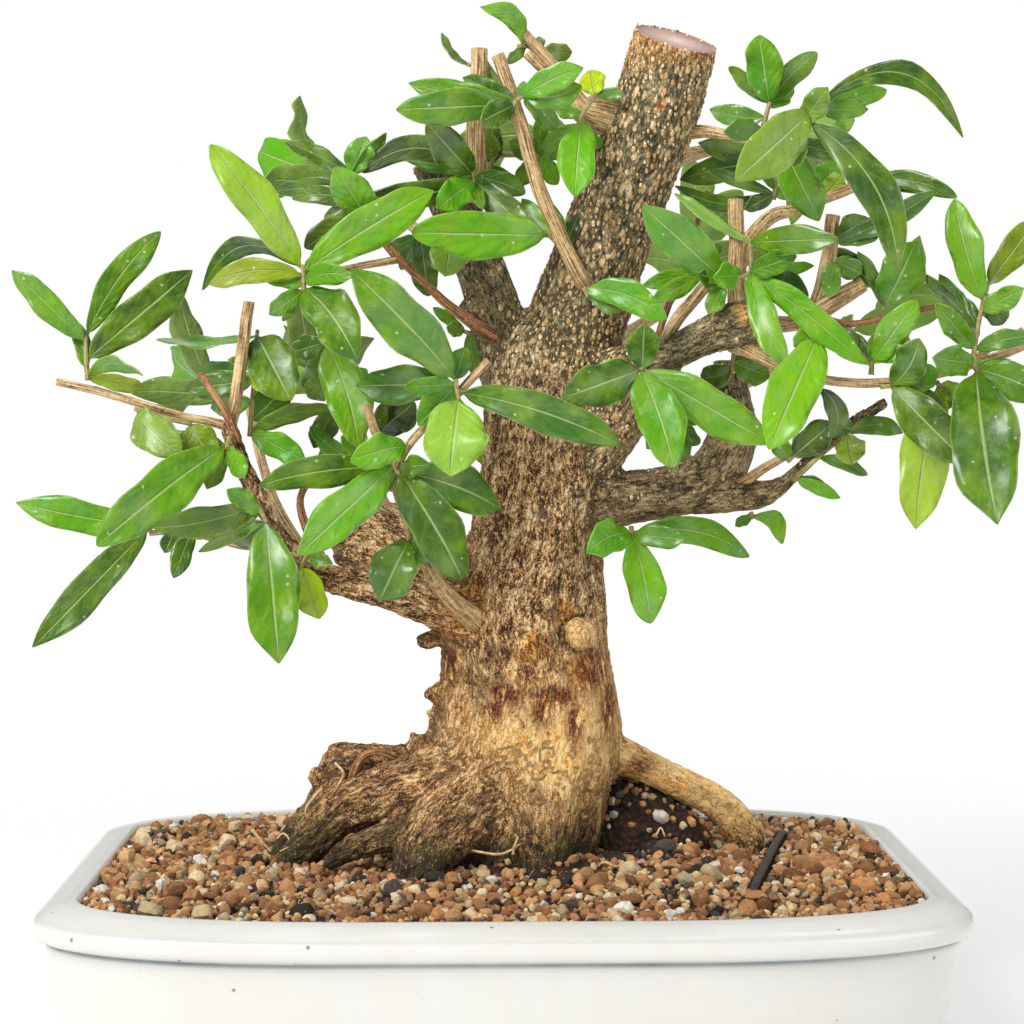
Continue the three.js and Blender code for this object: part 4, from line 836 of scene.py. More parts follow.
flutes = noise_on(grain / (11, 11, 34), 2)
ribs = noise_on(grain / (3.4, 3.4, 11), 3)
crumble = noise_on(grain / (1.8, 1.8, 2.8), 2)
rugged = 1 - young
relief = (flutes * (0.9 * rugged + 0.35) + ribs * (0.4 * rugged * (1 - 0.6 * bare) + 0.2)
          + crumble * (0.45 * rugged + 0.2) * (1 - 0.6 * bare)) * (1 - 0.85 * knob)
relief += 1.4 * knob - 2.4 * np.exp(-((round_knob - 6.6) / 0.9) ** 2) - 2.8 * knot_hole
relief += 0.8 * np.exp(-(orange_knob / 3.2) ** 2) - 1.4 * furrow
set_points(wood, point_array(wood) + vectors_of(wood, "normal") * relief[:, None])
print("relief from", round(relief.min(), 2), "to", round(relief.max(), 2), "mm")

# %% [markdown]
# Attributes written on the mesh stay with it: the grain as a vector, and each zone as a number.

# %% Grain and zones for the material
def keep(piece, name, values, kind="FLOAT"):
    attribute = piece.data.attributes.new(name, kind, "POINT")
    slot = {"FLOAT": "value", "FLOAT_VECTOR": "vector", "FLOAT_COLOR": "color"}[kind]
    attribute.data.foreach_set(slot, np.asarray(values, np.float32).ravel())


ZONES = {"young": young, "bare": bare, "foot": foot, "amber": amber, "stain": stain,
         "knob": knob, "corky": corky, "relief": np.clip(relief * 0.3 + 0.5, 0, 1)}
keep(wood, "grain", grain * MM, "FLOAT_VECTOR")
for name, values in ZONES.items():
    keep(wood, name, values)
print("attributes:", [a.name for a in wood.data.attributes if not a.name.startswith(".")])

# %% [markdown]
# Bonsai are shaped with a saw, and the cuts stay. Each cut is a plane that takes off the end of
# one limb and leaves a flat face. Bisect does just that: the faces near the cut are selected, the
# side beyond the plane is cleared, and the hole is filled with a new face, which takes the cut's
# own material. A shallow inset leaves a ring of bark that stands up round the wood.

# %% Saw cuts
RIM_WIDTH, RIM_HEIGHT = 0.9, 0.35


def select_faces(piece, chosen):
    mesh = piece.data
    for parts in (mesh.vertices, mesh.edges, mesh.polygons):
        parts.foreach_set("select", [False] * len(parts))
    for face, wanted in zip(mesh.polygons, chosen):
        if wanted:
            face.select = True
    bpy.ops.object.mode_set(mode="EDIT")
    bpy.ops.mesh.select_mode(type="FACE")
    end_edit()


def sawn(piece, place, way, reach, finish_number):
    near = distance_to(point_array(piece), place) < reach
    activate(piece)
    select_faces(piece, [all(near[v] for v in face.vertices) for face in piece.data.polygons])
    bpy.ops.object.mode_set(mode="EDIT")
    bpy.ops.mesh.bisect(plane_co=Vector(place) * MM, plane_no=way, use_fill=True, clear_outer=True)
    end_edit()
    faces = [f for f in piece.data.polygons if len(f.vertices) > 12]
    cut = min(faces, key=lambda f: (f.center - Vector(place) * MM).length)
    cut.material_index = finish_number
    cut.use_smooth = False
    corners, chosen = len(cut.vertices), cut.index
    select_faces(piece, [n == chosen for n in range(len(piece.data.polygons))])
    bpy.ops.object.mode_set(mode="EDIT")
    bpy.ops.mesh.inset(thickness=RIM_WIDTH * MM, depth=-RIM_HEIGHT * MM)
    end_edit()
    return corners


# name, place, the way the cut faces, how far round the place it reaches, and the disc's radius
CUTS = [
    ("leader", seen(62.5, 363, -19), (0.24, -0.36, 0.9), 40, 14),
    ("upper_left_limb", seen(-23.6, 319.5, -5), (-0.35, 0.05, 0.94), 16, 8),
    ("right_limb", seen(82, 248.5, 8), (0.05, 0.1, 1), 12, 6),
]
for number, (name, place, way, reach, _) in enumerate(CUTS):
    print(name, "cut with", sawn(wood, place, way, reach, number + 1), "corners")

# %% [markdown]
# Below the granules nothing shows, so the roots' hidden ends are taken off in the same way.

# %% Trim under the soil
TRIM_HEIGHT = 50
activate(wood)
edit_all()
bpy.ops.mesh.bisect(
    plane_co=(0, 0, TRIM_HEIGHT * MM), plane_no=(0, 0, -1), use_fill=True, clear_outer=True)
end_edit()
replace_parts(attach(wood, "root"), "trunk")
print("wood faces:", len(wood.data.polygons))

# %% [markdown]
# Bark is not one colour. Near the soil it is dark and damp with moss in its furrows, then comes a
# bare stretch of orange-tan, then grey-brown fibres, and the leader is olive-grey with pale corky
# bumps. Each of these has a row of tones from its deepest crack to its lightest ridge. A painted
# image could do it too, but a net of noises has no seams and stays sharp up close.

# %% Tones of bark
def tones(*codes, low=0.43, high=0.585):
    places = np.linspace(low, high, len(codes))
    return [(float(place), paint(code)) for place, code in zip(places, codes)]


BARK_TONES = {
    "brown": tones("#28170e", "#774b2b", "#ba8650", "#e2b478", "#f8deb0"),
    "grey": tones("#24160e", "#7d5631", "#bb8a52", "#e6be86", "#fde9bd", low=0.44, high=0.57),
    "tan": tones("#84450c", "#ea9436", "#ffb95e", "#ffcf80", "#ffe2a2", low=0.385, high=0.53),
    "damp": tones("#110b07", "#462c1b", "#7d5835", "#b3884f", "#e4c084"),
    "olive": tones("#1f1b10", "#5c5334", "#93835a", "#b5a67c"),
    "amber": tones("#5e3413", "#b86d22", "#e8a850", "#fbd896"),
    "red": tones("#280f07", "#652e12", "#96501f", "#c98a48"),
    "cork": tones("#b98c54", "#e8c590", "#fff0cc"),
}
print("rows of tones:", ", ".join(BARK_TONES))

# %% [markdown]
# One measure picks the tone: a mix of fine, middling and broad fibres that run along the grain,
# evened out on the smooth knob. The bare wood is tan with brown clouds and pits, and torn red
# streaks where it is stained; the foot is damp with moss, and nearly black where it meets the
# soil. The young skin has cork on it in oval dots.

# %% Parts of the bark
def attribute(tree, name):
    return put(tree, "Attribute", attribute_name=name, attribute_type="GEOMETRY")


def bark_fibres(tree, along, knob):
    strands = effect(tree, "fibres", along, Scale=1000.0, Stretch=0.42)
    fine = effect(tree, "fibres", place_of(tree), Scale=2400.0, Stretch=0.7)
    broad = effect(tree, "fibres", along, Scale=210.0, Stretch=0.6)
    shade = scaled(tree, broad, 0.26, scaled(tree, fine, 0.36, times(tree, strands, 0.38)))
    plain = scaled(tree, shade, 0.45, 0.285)
    return put(tree, "Mix", {0: knob, 2: shade, 3: plain}, data_type="FLOAT").outputs[0]


def bare_wood(tree, along, tan, red, stain):
    stains = effect(tree, "patches", along, Scale=150.0, Low=0.57, High=0.64)
    colour = tinted(tree, stains, 0.5, tan, "#6b4226")
    long = stretched(tree, along, (1.0, 1.0, 0.35))
    torn = effect(tree, "patches", long, Scale=380.0, Low=0.33, High=0.47)
    colour = blend(tree, times(tree, stain, torn), colour, red)
    pits = effect(tree, "specks", along, Scale=430.0, Share=0.2)
    return tinted(tree, pits, 0.65, colour, "#4d2813")


def with_damp_foot(tree, along, trunk, damp, foot):
    mossy = effect(tree, "patches", along, Scale=90.0, Low=0.42, High=0.6)
    trunk = blend(tree, foot, trunk, tinted(tree, mossy, 0.55, damp, "#5d662b"))
    wet = ranged(tree, foot, 0.82, 1.0, 0.0, 0.66)
    return blend(tree, wet, trunk, paint("#1d140d"))


def cork_dots(tree, along, corky):
    oval = stretched(tree, along, (1.0, 1.0, 0.6))
    corks = put(tree, "TexVoronoi", {"Vector": oval, "Scale": 330.0}).outputs["Distance"]
    dots = ranged(tree, corks, 0.25, 0.42, 1.0, 0.0, "SMOOTHSTEP")
    return times(tree, dots, scaled(tree, corky, 0.65, 0.3))


print("zones that the bark reads:", ", ".join(ZONES))

# %% [markdown]
# The bark's material lays these over each other by the zones kept on the mesh: brown trunk, greyer
# higher up, then bare wood, damp foot, young skin and orange marks. Last come the dark lines in
# the gaps between fibres, and painted shade that darkens the hollows of the relief.

# %% Bark
def bark_material():
    material, tree, surface = new_material("bark")
    along = attribute(tree, "grain").outputs["Vector"]
    young, bare, foot, amber, stain, knob, corky, relief = (
        attribute(tree, name).outputs["Fac"] for name in ZONES)
    shade = bark_fibres(tree, along, knob)
    tone = {name: ramp(tree, shade, stops) for name, stops in BARK_TONES.items()}
    height = put(tree, "SeparateXYZ", {0: place_of(tree)}).outputs[2]
    upper = ranged(tree, height, 0.135, 0.165, 0.0, 1.0)
    trunk = blend(tree, upper, tone["brown"], tone["grey"])
    worn = effect(tree, "patches", along, Scale=210.0, Low=0.4, High=0.6)
    worn = times(tree, math_of(tree, "MAXIMUM", bare, stain), scaled(tree, worn, 0.3, 0.82))
    trunk = blend(tree, worn, trunk, bare_wood(tree, along, tone["tan"], tone["red"], stain))
    trunk = with_damp_foot(tree, along, trunk, tone["damp"], foot)
    # pale cream flecks over the trunk: partly the bark's own pale bits, partly painted glints
    pale_flecks_and_glints = effect(tree, "specks", place_of(tree), Scale=980.0, Share=0.3)
    trunk = tinted(tree, pale_flecks_and_glints, 0.4, trunk, "#f3d6a0")
    dots = cork_dots(tree, along, corky)
    colour = blend(tree, young, trunk, blend(tree, dots, tone["olive"], tone["cork"]))
    glow = effect(tree, "patches", along, Scale=330.0, Low=0.36, High=0.56)
    colour = blend(tree, times(tree, amber, glow), colour, tone["amber"])
    gaps = effect(tree, "fibres", along, "Gaps", Scale=1000.0, Stretch=0.42)
    cracked = scaled(tree, bare, -0.38, scaled(tree, young, -0.25, 0.5))
    cracked = times(tree, gaps, math_of(tree, "SUBTRACT", cracked, knob))
    colour = blend(tree, cracked, colour, paint("#21170f"))
    # painted shade: the colour darkens in the hollows of the relief, much less on bare wood
    painted_hollow_shade = ranged(tree, relief, 0.2, 0.46, 0.6, 0.0)
    colour = tinted(tree, painted_hollow_shade, scaled(tree, bare, -0.9, 1.0), colour, "#20170f")
    raised = scaled(tree, times(tree, dots, young), 0.7, scaled(tree, gaps, -0.3, shade))
    wire(tree, surface, Base_Color=colour, Roughness=scaled(tree, young, -0.15, 0.85),
         Normal=bumped(tree, raised, 0.9, 0.0012))
    return material


BARK = bark_material()
print("nodes in the bark:", len(BARK.node_tree.nodes))

# %% [markdown]
# A saw cut shows the end grain: a disc with faint rings, browned toward the bark where it dried
# first. The rings come from the distance to the middle of the cut, stirred by a little noise.
# Each cut has its own middle, so each gets its own copy of the recipe.

# %% Sawn wood
def cut_material(name, centre, radius, colours):
    material, tree, surface = new_material(name)
    place = place_of(tree)
    middle = put(tree, "VectorMath", {0: place, 1: tuple(centre * MM)}, operation="SUBTRACT")
    away = put(tree, "VectorMath", {0: middle.outputs[0]}, operation="LENGTH").outputs["Value"]
    stir, grit = noise_of(tree, place, 160.0, 3.0), noise_of(tree, place, 1100.0, 4.0)
    share = scaled(tree, stir, 0.5, math_of(tree, "DIVIDE", away, radius * MM))
    rings = math_of(tree, "SINE", times(tree, share, 34.0))
    stops = [(stop, paint(code)) for stop, code in zip((0.1, 0.55, 0.85, 1.0), colours)]
    colour = ramp(tree, math_of(tree, "SUBTRACT", share, 0.2), stops)
    colour = blend(tree, scaled(tree, rings, 0.08, 0.08), colour, paint("#7c5440"))
    colour = tinted(tree, grit, 0.3, colour, colours[0])
    wire(tree, surface, Base_Color=colour, Roughness=0.5, Normal=bumped(tree, grit, 0.35, 0.0005))
    return material


PINK_WOOD = ("#d8c5b6", "#b98a7b", "#96695c", "#7d4c36")
DRY_WOOD = ("#cfb28c", "#b08a62", "#8d6440", "#5f3d25")
NO_RINGS = 1000
SAWN = cut_material("twig_cut", Vector((0, 0, 0)), NO_RINGS, DRY_WOOD)
finish(wood, BARK)
for name, place, _, _, radius in CUTS:
    colours = PINK_WOOD if name == "leader" else DRY_WOOD
    finish(wood, cut_material("cut_" + name, place, radius, colours))
print("wood finishes:", [m.name for m in wood.data.materials])

# %% [markdown]
# The leader and the younger limbs are dotted with corky bumps that stand out from the bark. They
# are too small for the remeshed skin, so one bump is modelled, a small flattened dome, and copies
# of it are set on the skin.

# %% Modelling one bump
def dome():
    deselect()
    bpy.ops.mesh.primitive_uv_sphere_add(segments=7, ring_count=5, radius=1)
    made = bpy.context.object
    edit_all()
    bpy.ops.mesh.bisect(plane_co=(0, 0, -0.3), plane_no=(0, 0, -1), use_fill=True, clear_outer=True)
    bpy.ops.mesh.select_all(action="SELECT")
    bpy.ops.transform.vertex_random(offset=0.09, uniform=0.3, seed=3)
    bpy.ops.transform.resize(value=(0.8, 1.4, 0.42))
    end_edit()
    return made


BUMP = dome()
print("bump faces:", len(BUMP.data.polygons))

# %% [markdown]
# Points of the skin are tried in a random order. A bump is set where the bark is young and high
# enough and where the corky zone makes it likely, if it keeps its distance from those already
# there. Each lies on the bark's own normal, and most are small, with a few large ones among them.

# %% Setting the bumps
BUMP_COUNT, BUMP_GAP, BUMP_FLOOR = 2400, 1.6, 200


def kept_on(piece, name):
    values = np.empty(len(piece.data.vertices), np.float32)
    piece.data.attributes[name].data.foreach_get("value", values)
    return values


def bump_places(piece, points, luck):
    chance = kept_on(piece, "corky") + 0.06
    likely = chance > luck.random(len(chance))
    fit = (kept_on(piece, "young") > 0.55) & (points[:, 2] > BUMP_FLOOR) & likely
    kept = []
    for i in luck.permutation(np.flatnonzero(fit)):
        if len(kept) == BUMP_COUNT:
            break
        if not kept or np.linalg.norm(points[kept] - points[i], axis=1).min() > BUMP_GAP:
            kept.append(i)
    return kept


def set_bumps(piece, luck):
    points, normals = point_array(piece), vectors_of(piece, "normal")
    bumps = []
    for i in bump_places(piece, points, luck):
        turn = Vector(normals[i]).to_track_quat("Z", "Y").to_matrix().to_4x4()
        size = (0.45 + 0.6 * luck.random() ** 2.2) * MM
        copy = BUMP.data.copy()
        copy.transform(Matrix.Translation(Vector(points[i]) * MM) @ turn @ Matrix.Scale(size, 4))
        bump = bpy.data.objects.new("bump", copy)
        bpy.context.collection.objects.link(bump)
        bumps.append(bump)
    return joined("cork_bumps", bumps)


corks = set_bumps(wood, np.random.default_rng(5))
activate(corks)
bpy.ops.object.shade_smooth()
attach(corks, "root")
bpy.data.objects.remove(BUMP)
print("bumps:", len(corks.data.polygons), "faces in all")

# %% [markdown]
# Cork is light, dry and matt. It takes the bark's pale row of tones, with browner clouds and a
# crumbly surface.

# %% Cork
def cork_material():
    material, tree, surface = new_material("cork")
    place = place_of(tree)
    grit = noise_of(tree, place, 1300.0, 4.0)
    clouds = effect(tree, "patches", place, Scale=320.0, Low=0.4, High=0.62)
    colour = blend(tree, clouds, ramp(tree, grit, BARK_TONES["cork"]), paint("#b8925e"))
    wire(tree, surface, Base_Color=colour, Roughness=0.75, Normal=bumped(tree, grit, 0.6, 0.0006))
    return material


finish(corks, cork_material())
print("cork finish:", corks.data.materials[0].name)

# %% [markdown]
# Twigs are thin, long and smooth-skinned, with pale ribs along them. Their table has the same four
# numbers for each place as the limbs' table. The last seven stand behind the crown.

# %% Table of the twigs
TWIGS = paths_of("""
-97 226 -30 2.4, -94.5 238 -30 2.2, -92 256 -30 2.1, -90 270 -30 2;
-96 225 -30 2, -105 227.5 -30 1.5, -113 229 -30 1.4, -130 234 -30 1.4, -147 239 -30 1.4,
-158.5 241.5 -30 1.3;
-94.5 220 -32 1.8, -98.5 230 -34.5 1.4, -107.5 244.5 -37 1.2;
-79 187 -27 1.8, -90 182.5 -22 1.2, -103 185.5 -22 1.2, -115 188 -22 1.1, -126 187.5 -22 1;
-62 172 -22 2.4, -72 197 -10 1.4, -66 211 -5 1.2, -59.5 229 -2 1.1;
-10 156 -20 5, -17 162 -30 3.4, -24 171 -37 2.6, -30 183 -40 2.2, -35.5 198 -41 2.1, -39 209 -42 2,
-44 221 -43 1.7, -48.5 233.5 -44 1.5;
-38 207 -41.5 1.7, -34 218 -43 1.5, -19 234 -43 1.5, -4.5 249 -43 1.6;
-2 257 -8 3, -10.5 262.5 -16 2.2, -22 271.5 -20 1.6, -32 281 -23 1.5, -38 286.5 -25 1.5,
-43 292 -27 1.2;
-36.5 285 -24.5 1.4, -56 281.5 -33 1.3, -70 278 -38 1.3, -78.5 276.5 -40 1.4;
-18 300 -4 4, -10 310 -9 4, -9.2 320 -14 3.8, -9.2 332 -15 3.3, -8.6 345 -16 3, -7.8 359.5 -16 2.9;
31 276 -16 3.6, 28 279 -23 2.9, 20 295 -27 2.6, 12.5 313 -30 2.5, 7.5 331 -32 2.5, 3 345 -33 2.3,
-1.5 357.5 -34 2.3;
44 334 -12 7, 34 337 -16 6.8, 28 339 -18 4.5, 24 347 -18 2.3, 19 353 -18 2.2, 10 363 -18 1.9,
1 373 -18 1.8;
20 349.5 -18 2.2, 16 351.5 -18.5 1.9, 9 358 -19.5 1.8;
62 330.5 -14 3.4, 72 330.5 -18 2.3, 82 329 -24 2, 98 326 -38 1.5, 104 331 -45 1.4, 111 338 -50 1.3;
50 250 -20 3, 57 255 -21 2.4, 64 265 -19 2.3, 74.5 278 -16 2.2;
48 249 -16 2, 54 253 -9 1.3, 60 270 -2 1.2, 67 289 4 1.1, 73.5 309 8 1.1;
46 247 -19 1.6, 49.5 244.5 -24 1.2, 55 238 -26 1, 61 231.5 -26 1;
85 264 -29 4, 84 275 -28 3.2, 84 290 -28 2.8, 83.5 306.5 -28 2.8;
84 276 -25 3, 86.5 289 -15 2.5, 96 300 -7 2.6, 107 303.5 -3 2, 129.5 312.5 1 2;
90 263 -30 4, 103 262 -32 2.8, 112 266.5 -32 4, 129.5 276.5 -32 2.7;
110 263 -32 2.6, 114 272 -31 2.9, 117 287 -30 2.5, 118.5 301 -30 2.5;
110 265 -32 2.4, 124 262.3 -30 1.3, 137 264.5 -29 1.2, 148 267 -28 1.1, 162 269 -27 0.9;
84 256 -28 4.5, 93 250.5 -32 2.6, 100 247 -35 2, 115 242.5 -37 1.7, 133 241 -39 1.6,
150 243 -40 1.6, 165 246.5 -41 1.7, 180 251.5 -41 1.6, 192 256.5 -41 1.5;
166 247 -40 1.5, 176 254 -37 1.2, 187 260 -35 1.2;
80 201 -11 3, 92 209 -15 1.8, 103 215.5 -17 1.5;
-34 182 8 6, -42 196 28 3, -48 214 44 2.2, -52 232 56 1.7;
-8 280 0 4, -22 290 16 2.4, -36 300 32 1.9, -46 308 48 1.5;
44 300 -6 7, 40 308 18 3, 30 318 34 2.2, 22 330 46 1.7;
50 316 -8 7, 66 322 14 3, 82 326 32 2.2, 94 330 48 1.6;
34 250 0 7, 44 258 22 3, 56 266 42 2.3, 64 276 58 1.7;
80 238 4 4, 92 244 20 2.4, 106 250 36 2, 118 256 50 1.5;
-70 178 -22 3, -80 196 -2 2, -86 214 16 1.7, -90 232 30 1.4""")
RED_TWIGS = (2, 4, 7, 15, 21)
print("twigs:", len(TWIGS), "of which red:", len(RED_TWIGS))

# %% [markdown]
# They are rolled around the same kind of path as the limbs, with finer steps and a slight wander
# between the measured places. The grid's own UV map runs round and along each twig, and it is
# scaled to the twig's girth and length, so that the ribs are as wide on every twig.

# %% Rolling a twig
def twig_of(stations, sides=12, per_span=6, name="twig", look=seen):
    path = smooth_path(stations, per_span, look)
    wander = np.array([noise.noise_vector(Vector(p[:3]) / 9) for p in path])
    path[1:-1, :3] += wander[1:-1] * np.minimum(0.35, path[1:-1, 3:4] * 0.2)
    piece = rolled(name, rings_on(path, sides))
    length = np.linalg.norm(np.diff(path[:, :3], axis=0), axis=1).sum()
    uv = piece.data.uv_layers[0].data
    coordinates = np.empty(len(uv) * 2)
    uv.foreach_get("uv", coordinates)
    coordinates = coordinates.reshape(-1, 2) * (stations[0][3] / 2.4, length / 10)
    uv.foreach_set("uv", coordinates.ravel())
    return piece


twigs = [twig_of(stations) for stations in TWIGS]
print("rolled twigs:", len(twigs))

# %% [markdown]
# Young bark is drawn as stripes along the UV map, with a fine noise in them and a few pale specks.
# Most twigs are tan; some carry the red-brown skin of this year's growth. The end faces of a twig
# are cut wood.

# %% Twig finishes
def twig_material(name, dark, middle, light):
    material, tree, surface = new_material(name)
    place = place_of(tree)
    long = stretched(tree, put(tree, "UVMap").outputs[0], (24.0, 0.8, 1.0))
    stripes, fine = noise_of(tree, long, 1.0, 3.0), noise_of(tree, place, 700.0, 4.0)
    shade = scaled(tree, fine, 0.25, times(tree, stripes, 0.75))
    colour = ramp(tree, shade, [(0.38, paint(dark)), (0.48, paint(middle)), (0.58, paint(light))])
    specks = effect(tree, "specks", place, Scale=700.0, Share=0.2)
    colour = tinted(tree, specks, 0.5, colour, "#d9c5a0")
    wire(tree, surface, Base_Color=colour, Roughness=0.62, Normal=bumped(tree, shade, 0.8, 0.0006))
    return material


TWIG = twig_material("twig_bark", "#62482a", "#b38d59", "#e8cc98")
RED_TWIG = twig_material("red_twig_bark", "#432818", "#8d5c3b", "#c8925f")
for number, piece in enumerate(twigs):
    finish(piece, RED_TWIG if number in RED_TWIGS else TWIG, SAWN)
twigs = joined("twigs", twigs)
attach(twigs, "root")
print("twigs have", len(twigs.data.polygons), "faces")

# %% [markdown]
# Pomegranate leaves are narrow, glossy and a little folded along the midrib, with a wavy edge and
# a blunt or pointed tip. They sit in pairs on short shoots. One blank leaf is modelled as a grid
# with a pointed end. Every real leaf is a copy of it, laid between its own base and tip, with its
# own width, bow, arch and roll, so that no two are alike.

# %% The blank leaf
ACROSS, ALONG = 6, 22


def blank_leaf():
    deselect()
    bpy.ops.mesh.primitive_grid_add(x_subdivisions=ACROSS, y_subdivisions=ALONG, size=2)
    leaf = bpy.context.object
    leaf.name = "leaf"
    bpy.ops.object.shade_smooth()
    return leaf


BLANK = blank_leaf()
print("blank leaf:", len(BLANK.data.polygons), "faces")

# %% [markdown]
# The formula works in the leaf's own three directions: along the span, across it, and out of its
# face. The edges lift a little above the midrib, wave up and down out of step with each other,
# and the last fifth of the blade curls back.

# %% Shaping a leaf
FOLD, WAVE, RUFFLE, CURL = 0.16, 0.07, 0.085, 0.05


def leaf_directions(base, tip, facing, roll):
    span = tip - base
    across = facing.cross(span).normalized()
    face = span.cross(across).normalized()
    turn = math.radians(roll)
    turned = (across * math.cos(turn) + face * math.sin(turn),
              face * math.cos(turn) - across * math.sin(turn))
    return [np.array(v) for v in (span, across, face, *turned)]


def leaf_points(base, tip, facing, width, bow, arch, roll, whim):
    span, across0, face0, across, face = leaf_directions(base, tip, facing, roll)
    t = (0.5 - 0.5 * np.cos(np.linspace(0, math.pi, ALONG + 1)))[:, None, None]
    u = np.linspace(1, -1, ACROSS + 1)[None, :, None]
    middle = np.array(base) + span * t + (across0 * bow + face0 * arch) * 4 * t * (1 - t)
    blunt = 0.62 + 0.4 * fade(t, 0.78, 1) * (whim * 7 % 1)
    outline = np.clip(1 - (2 * t ** 1.15 - 1) ** 2, 0, 1) ** blunt
    outline = outline * (1 + 0.08 * np.sin(9 * t + whim * 3 + 1.7 * np.sign(u))
                         + 0.04 * np.sin(17 * t + whim * 5 + 2.9 * np.sign(u)))
    stalk = np.where(t < 0.96, 0.55 * (1 - t) ** 2, 0)
    reach = np.maximum(0.48 * width * outline * fade(t, 0.0, 0.1), stalk)
    lift = FOLD * reach * np.abs(u) ** 1.4
    wave = WAVE * width * np.sin(9 * t + width) * u * outline
    ruffle = RUFFLE * width * np.sin(16 * t + whim + 2.1 * np.sign(u)) * np.abs(u) ** 2.5 * outline
    curl = -CURL * np.linalg.norm(span) * fade(t, 0.75, 1) * (whim % 1)
    return middle + across * u * reach + face * (lift + wave + ruffle + curl)


def leaf_of(shape, tint):
    leaf = BLANK.copy()
    leaf.data = BLANK.data.copy()
    bpy.context.collection.objects.link(leaf)
    set_points(leaf, shape)
    keep(leaf, "tint", [tint] * len(leaf.data.vertices), "FLOAT_COLOR")
    return leaf


print("leaf fold", FOLD, "of the half width")

# %% [markdown]
# The shoots' tables give each stem as places in the elevation, and each leaf as where it leaves
# the stem, where its tip is, its width, how deep the tip lies, and its bow, arch and roll. A
# letter per leaf tells its colour: m middle green, d dark, g greyish, which is partly a waxy bloom
# and partly painted sheen, b bright, y yellow-green and p pale. A shoot's text is its name and
# letters, its stem's places and its leaves, with a colon between the three. First come the shoots
# at the far left and in the left crown.

# %% Shoots at the left
def shoots_of(text):
    blocks = [block.split(":") for block in text.strip().split("\n\n")]
    return {head.split()[0]: (head.split()[1], numbers(stem), numbers(leaves))
            for head, stem, leaves in blocks}


SHOOTS = shoots_of("""
far_left mmmmmp: -147.3 242 -33.5, -148 250 -33, -148 258 -32: -149 256 -174 281 9.5 -36 0 2,
-147.5 257 -121 295 10.5 -30 2.5 2, -146 249 -110 281 14.5 -44 0 2,
-146.5 243.5 -128.5 243 7 -46 5 0 40, -148.5 246 -151 263 6 -26 0 0, -146 242.5 -127 239.5 6 -22 0 1

left_bud gy: -110.5 226.5 -33.5, -120 228.5 -34, -131 231.8 -34.5: -131 232 -114.5 216 14 -44 -2 2,
-111.5 227 -103 212 12 -42 0 1

left_upright mmymmmmgmm: -90 222 -23, -88.5 240 -24, -87 260 -25: -87 258 -75.5 235 18 -38 0 2,
-87 256 -84 249 7 -34, -88 247 -86 238 6 -28, -88 262 -123 257 6 -20 2 0 55,
-88 241 -112 239 10 -20, -88.5 244 -108 247 8 -14, -90 228 -76 240 12 -18,
-90 223 -60.5 232 7.5 -22 2 0 30, -90 221 -70 213 9.5 -26, -89 236 -104 232 8 -12

upper_left ydymmmmmmm: -70.5 273.5 -43, -70.5 278 -43.5, -71 283 -43:
-71 281 -103.5 325.5 14 -50 -1 3, -71 281 -107 273.5 8 -30 -12 0 -20, -72 279 -104.5 276 9 -52 -3 2,
-70 276.5 -53.5 279 8 -54 2 1, -70.5 275 -52 250 16.5 -58 2 3, -71.5 274 -82.5 265.5 7.5 -52,
-71 275 -78 263 4 -44, -70.5 281 -62 285 7 -40, -69 281 -24 309.5 15.5 -52 1 2,
-71 276 -86 281 7 -38

left_crown mmmmdmgdd: -44.5 294 -27.5, -50 304 -27, -54 316 -26: -45 295 -59 317.5 13.5 -38 0 1,
-53 315 -48 328.5 10 -24, -53 316 -40.5 329.5 6 -28 0 0 30, -54 316 -77 326.5 7 -22 -1 0 20,
-52 310 -80.5 309 7.5 -18 -1 0, -50 303 -75 306.5 7 -10 -3 0, -49 302 -70 289 10 -22,
-47 298 -66 284 8 -8, -50 304 -64 298 8 0
""")
print("shoots at the left:", len(SHOOTS))

# %% [markdown]
# Round the leader's top and the upper left limb the leaves stand dense and upright. Below them,
# long single leaves hang in front of the trunk.

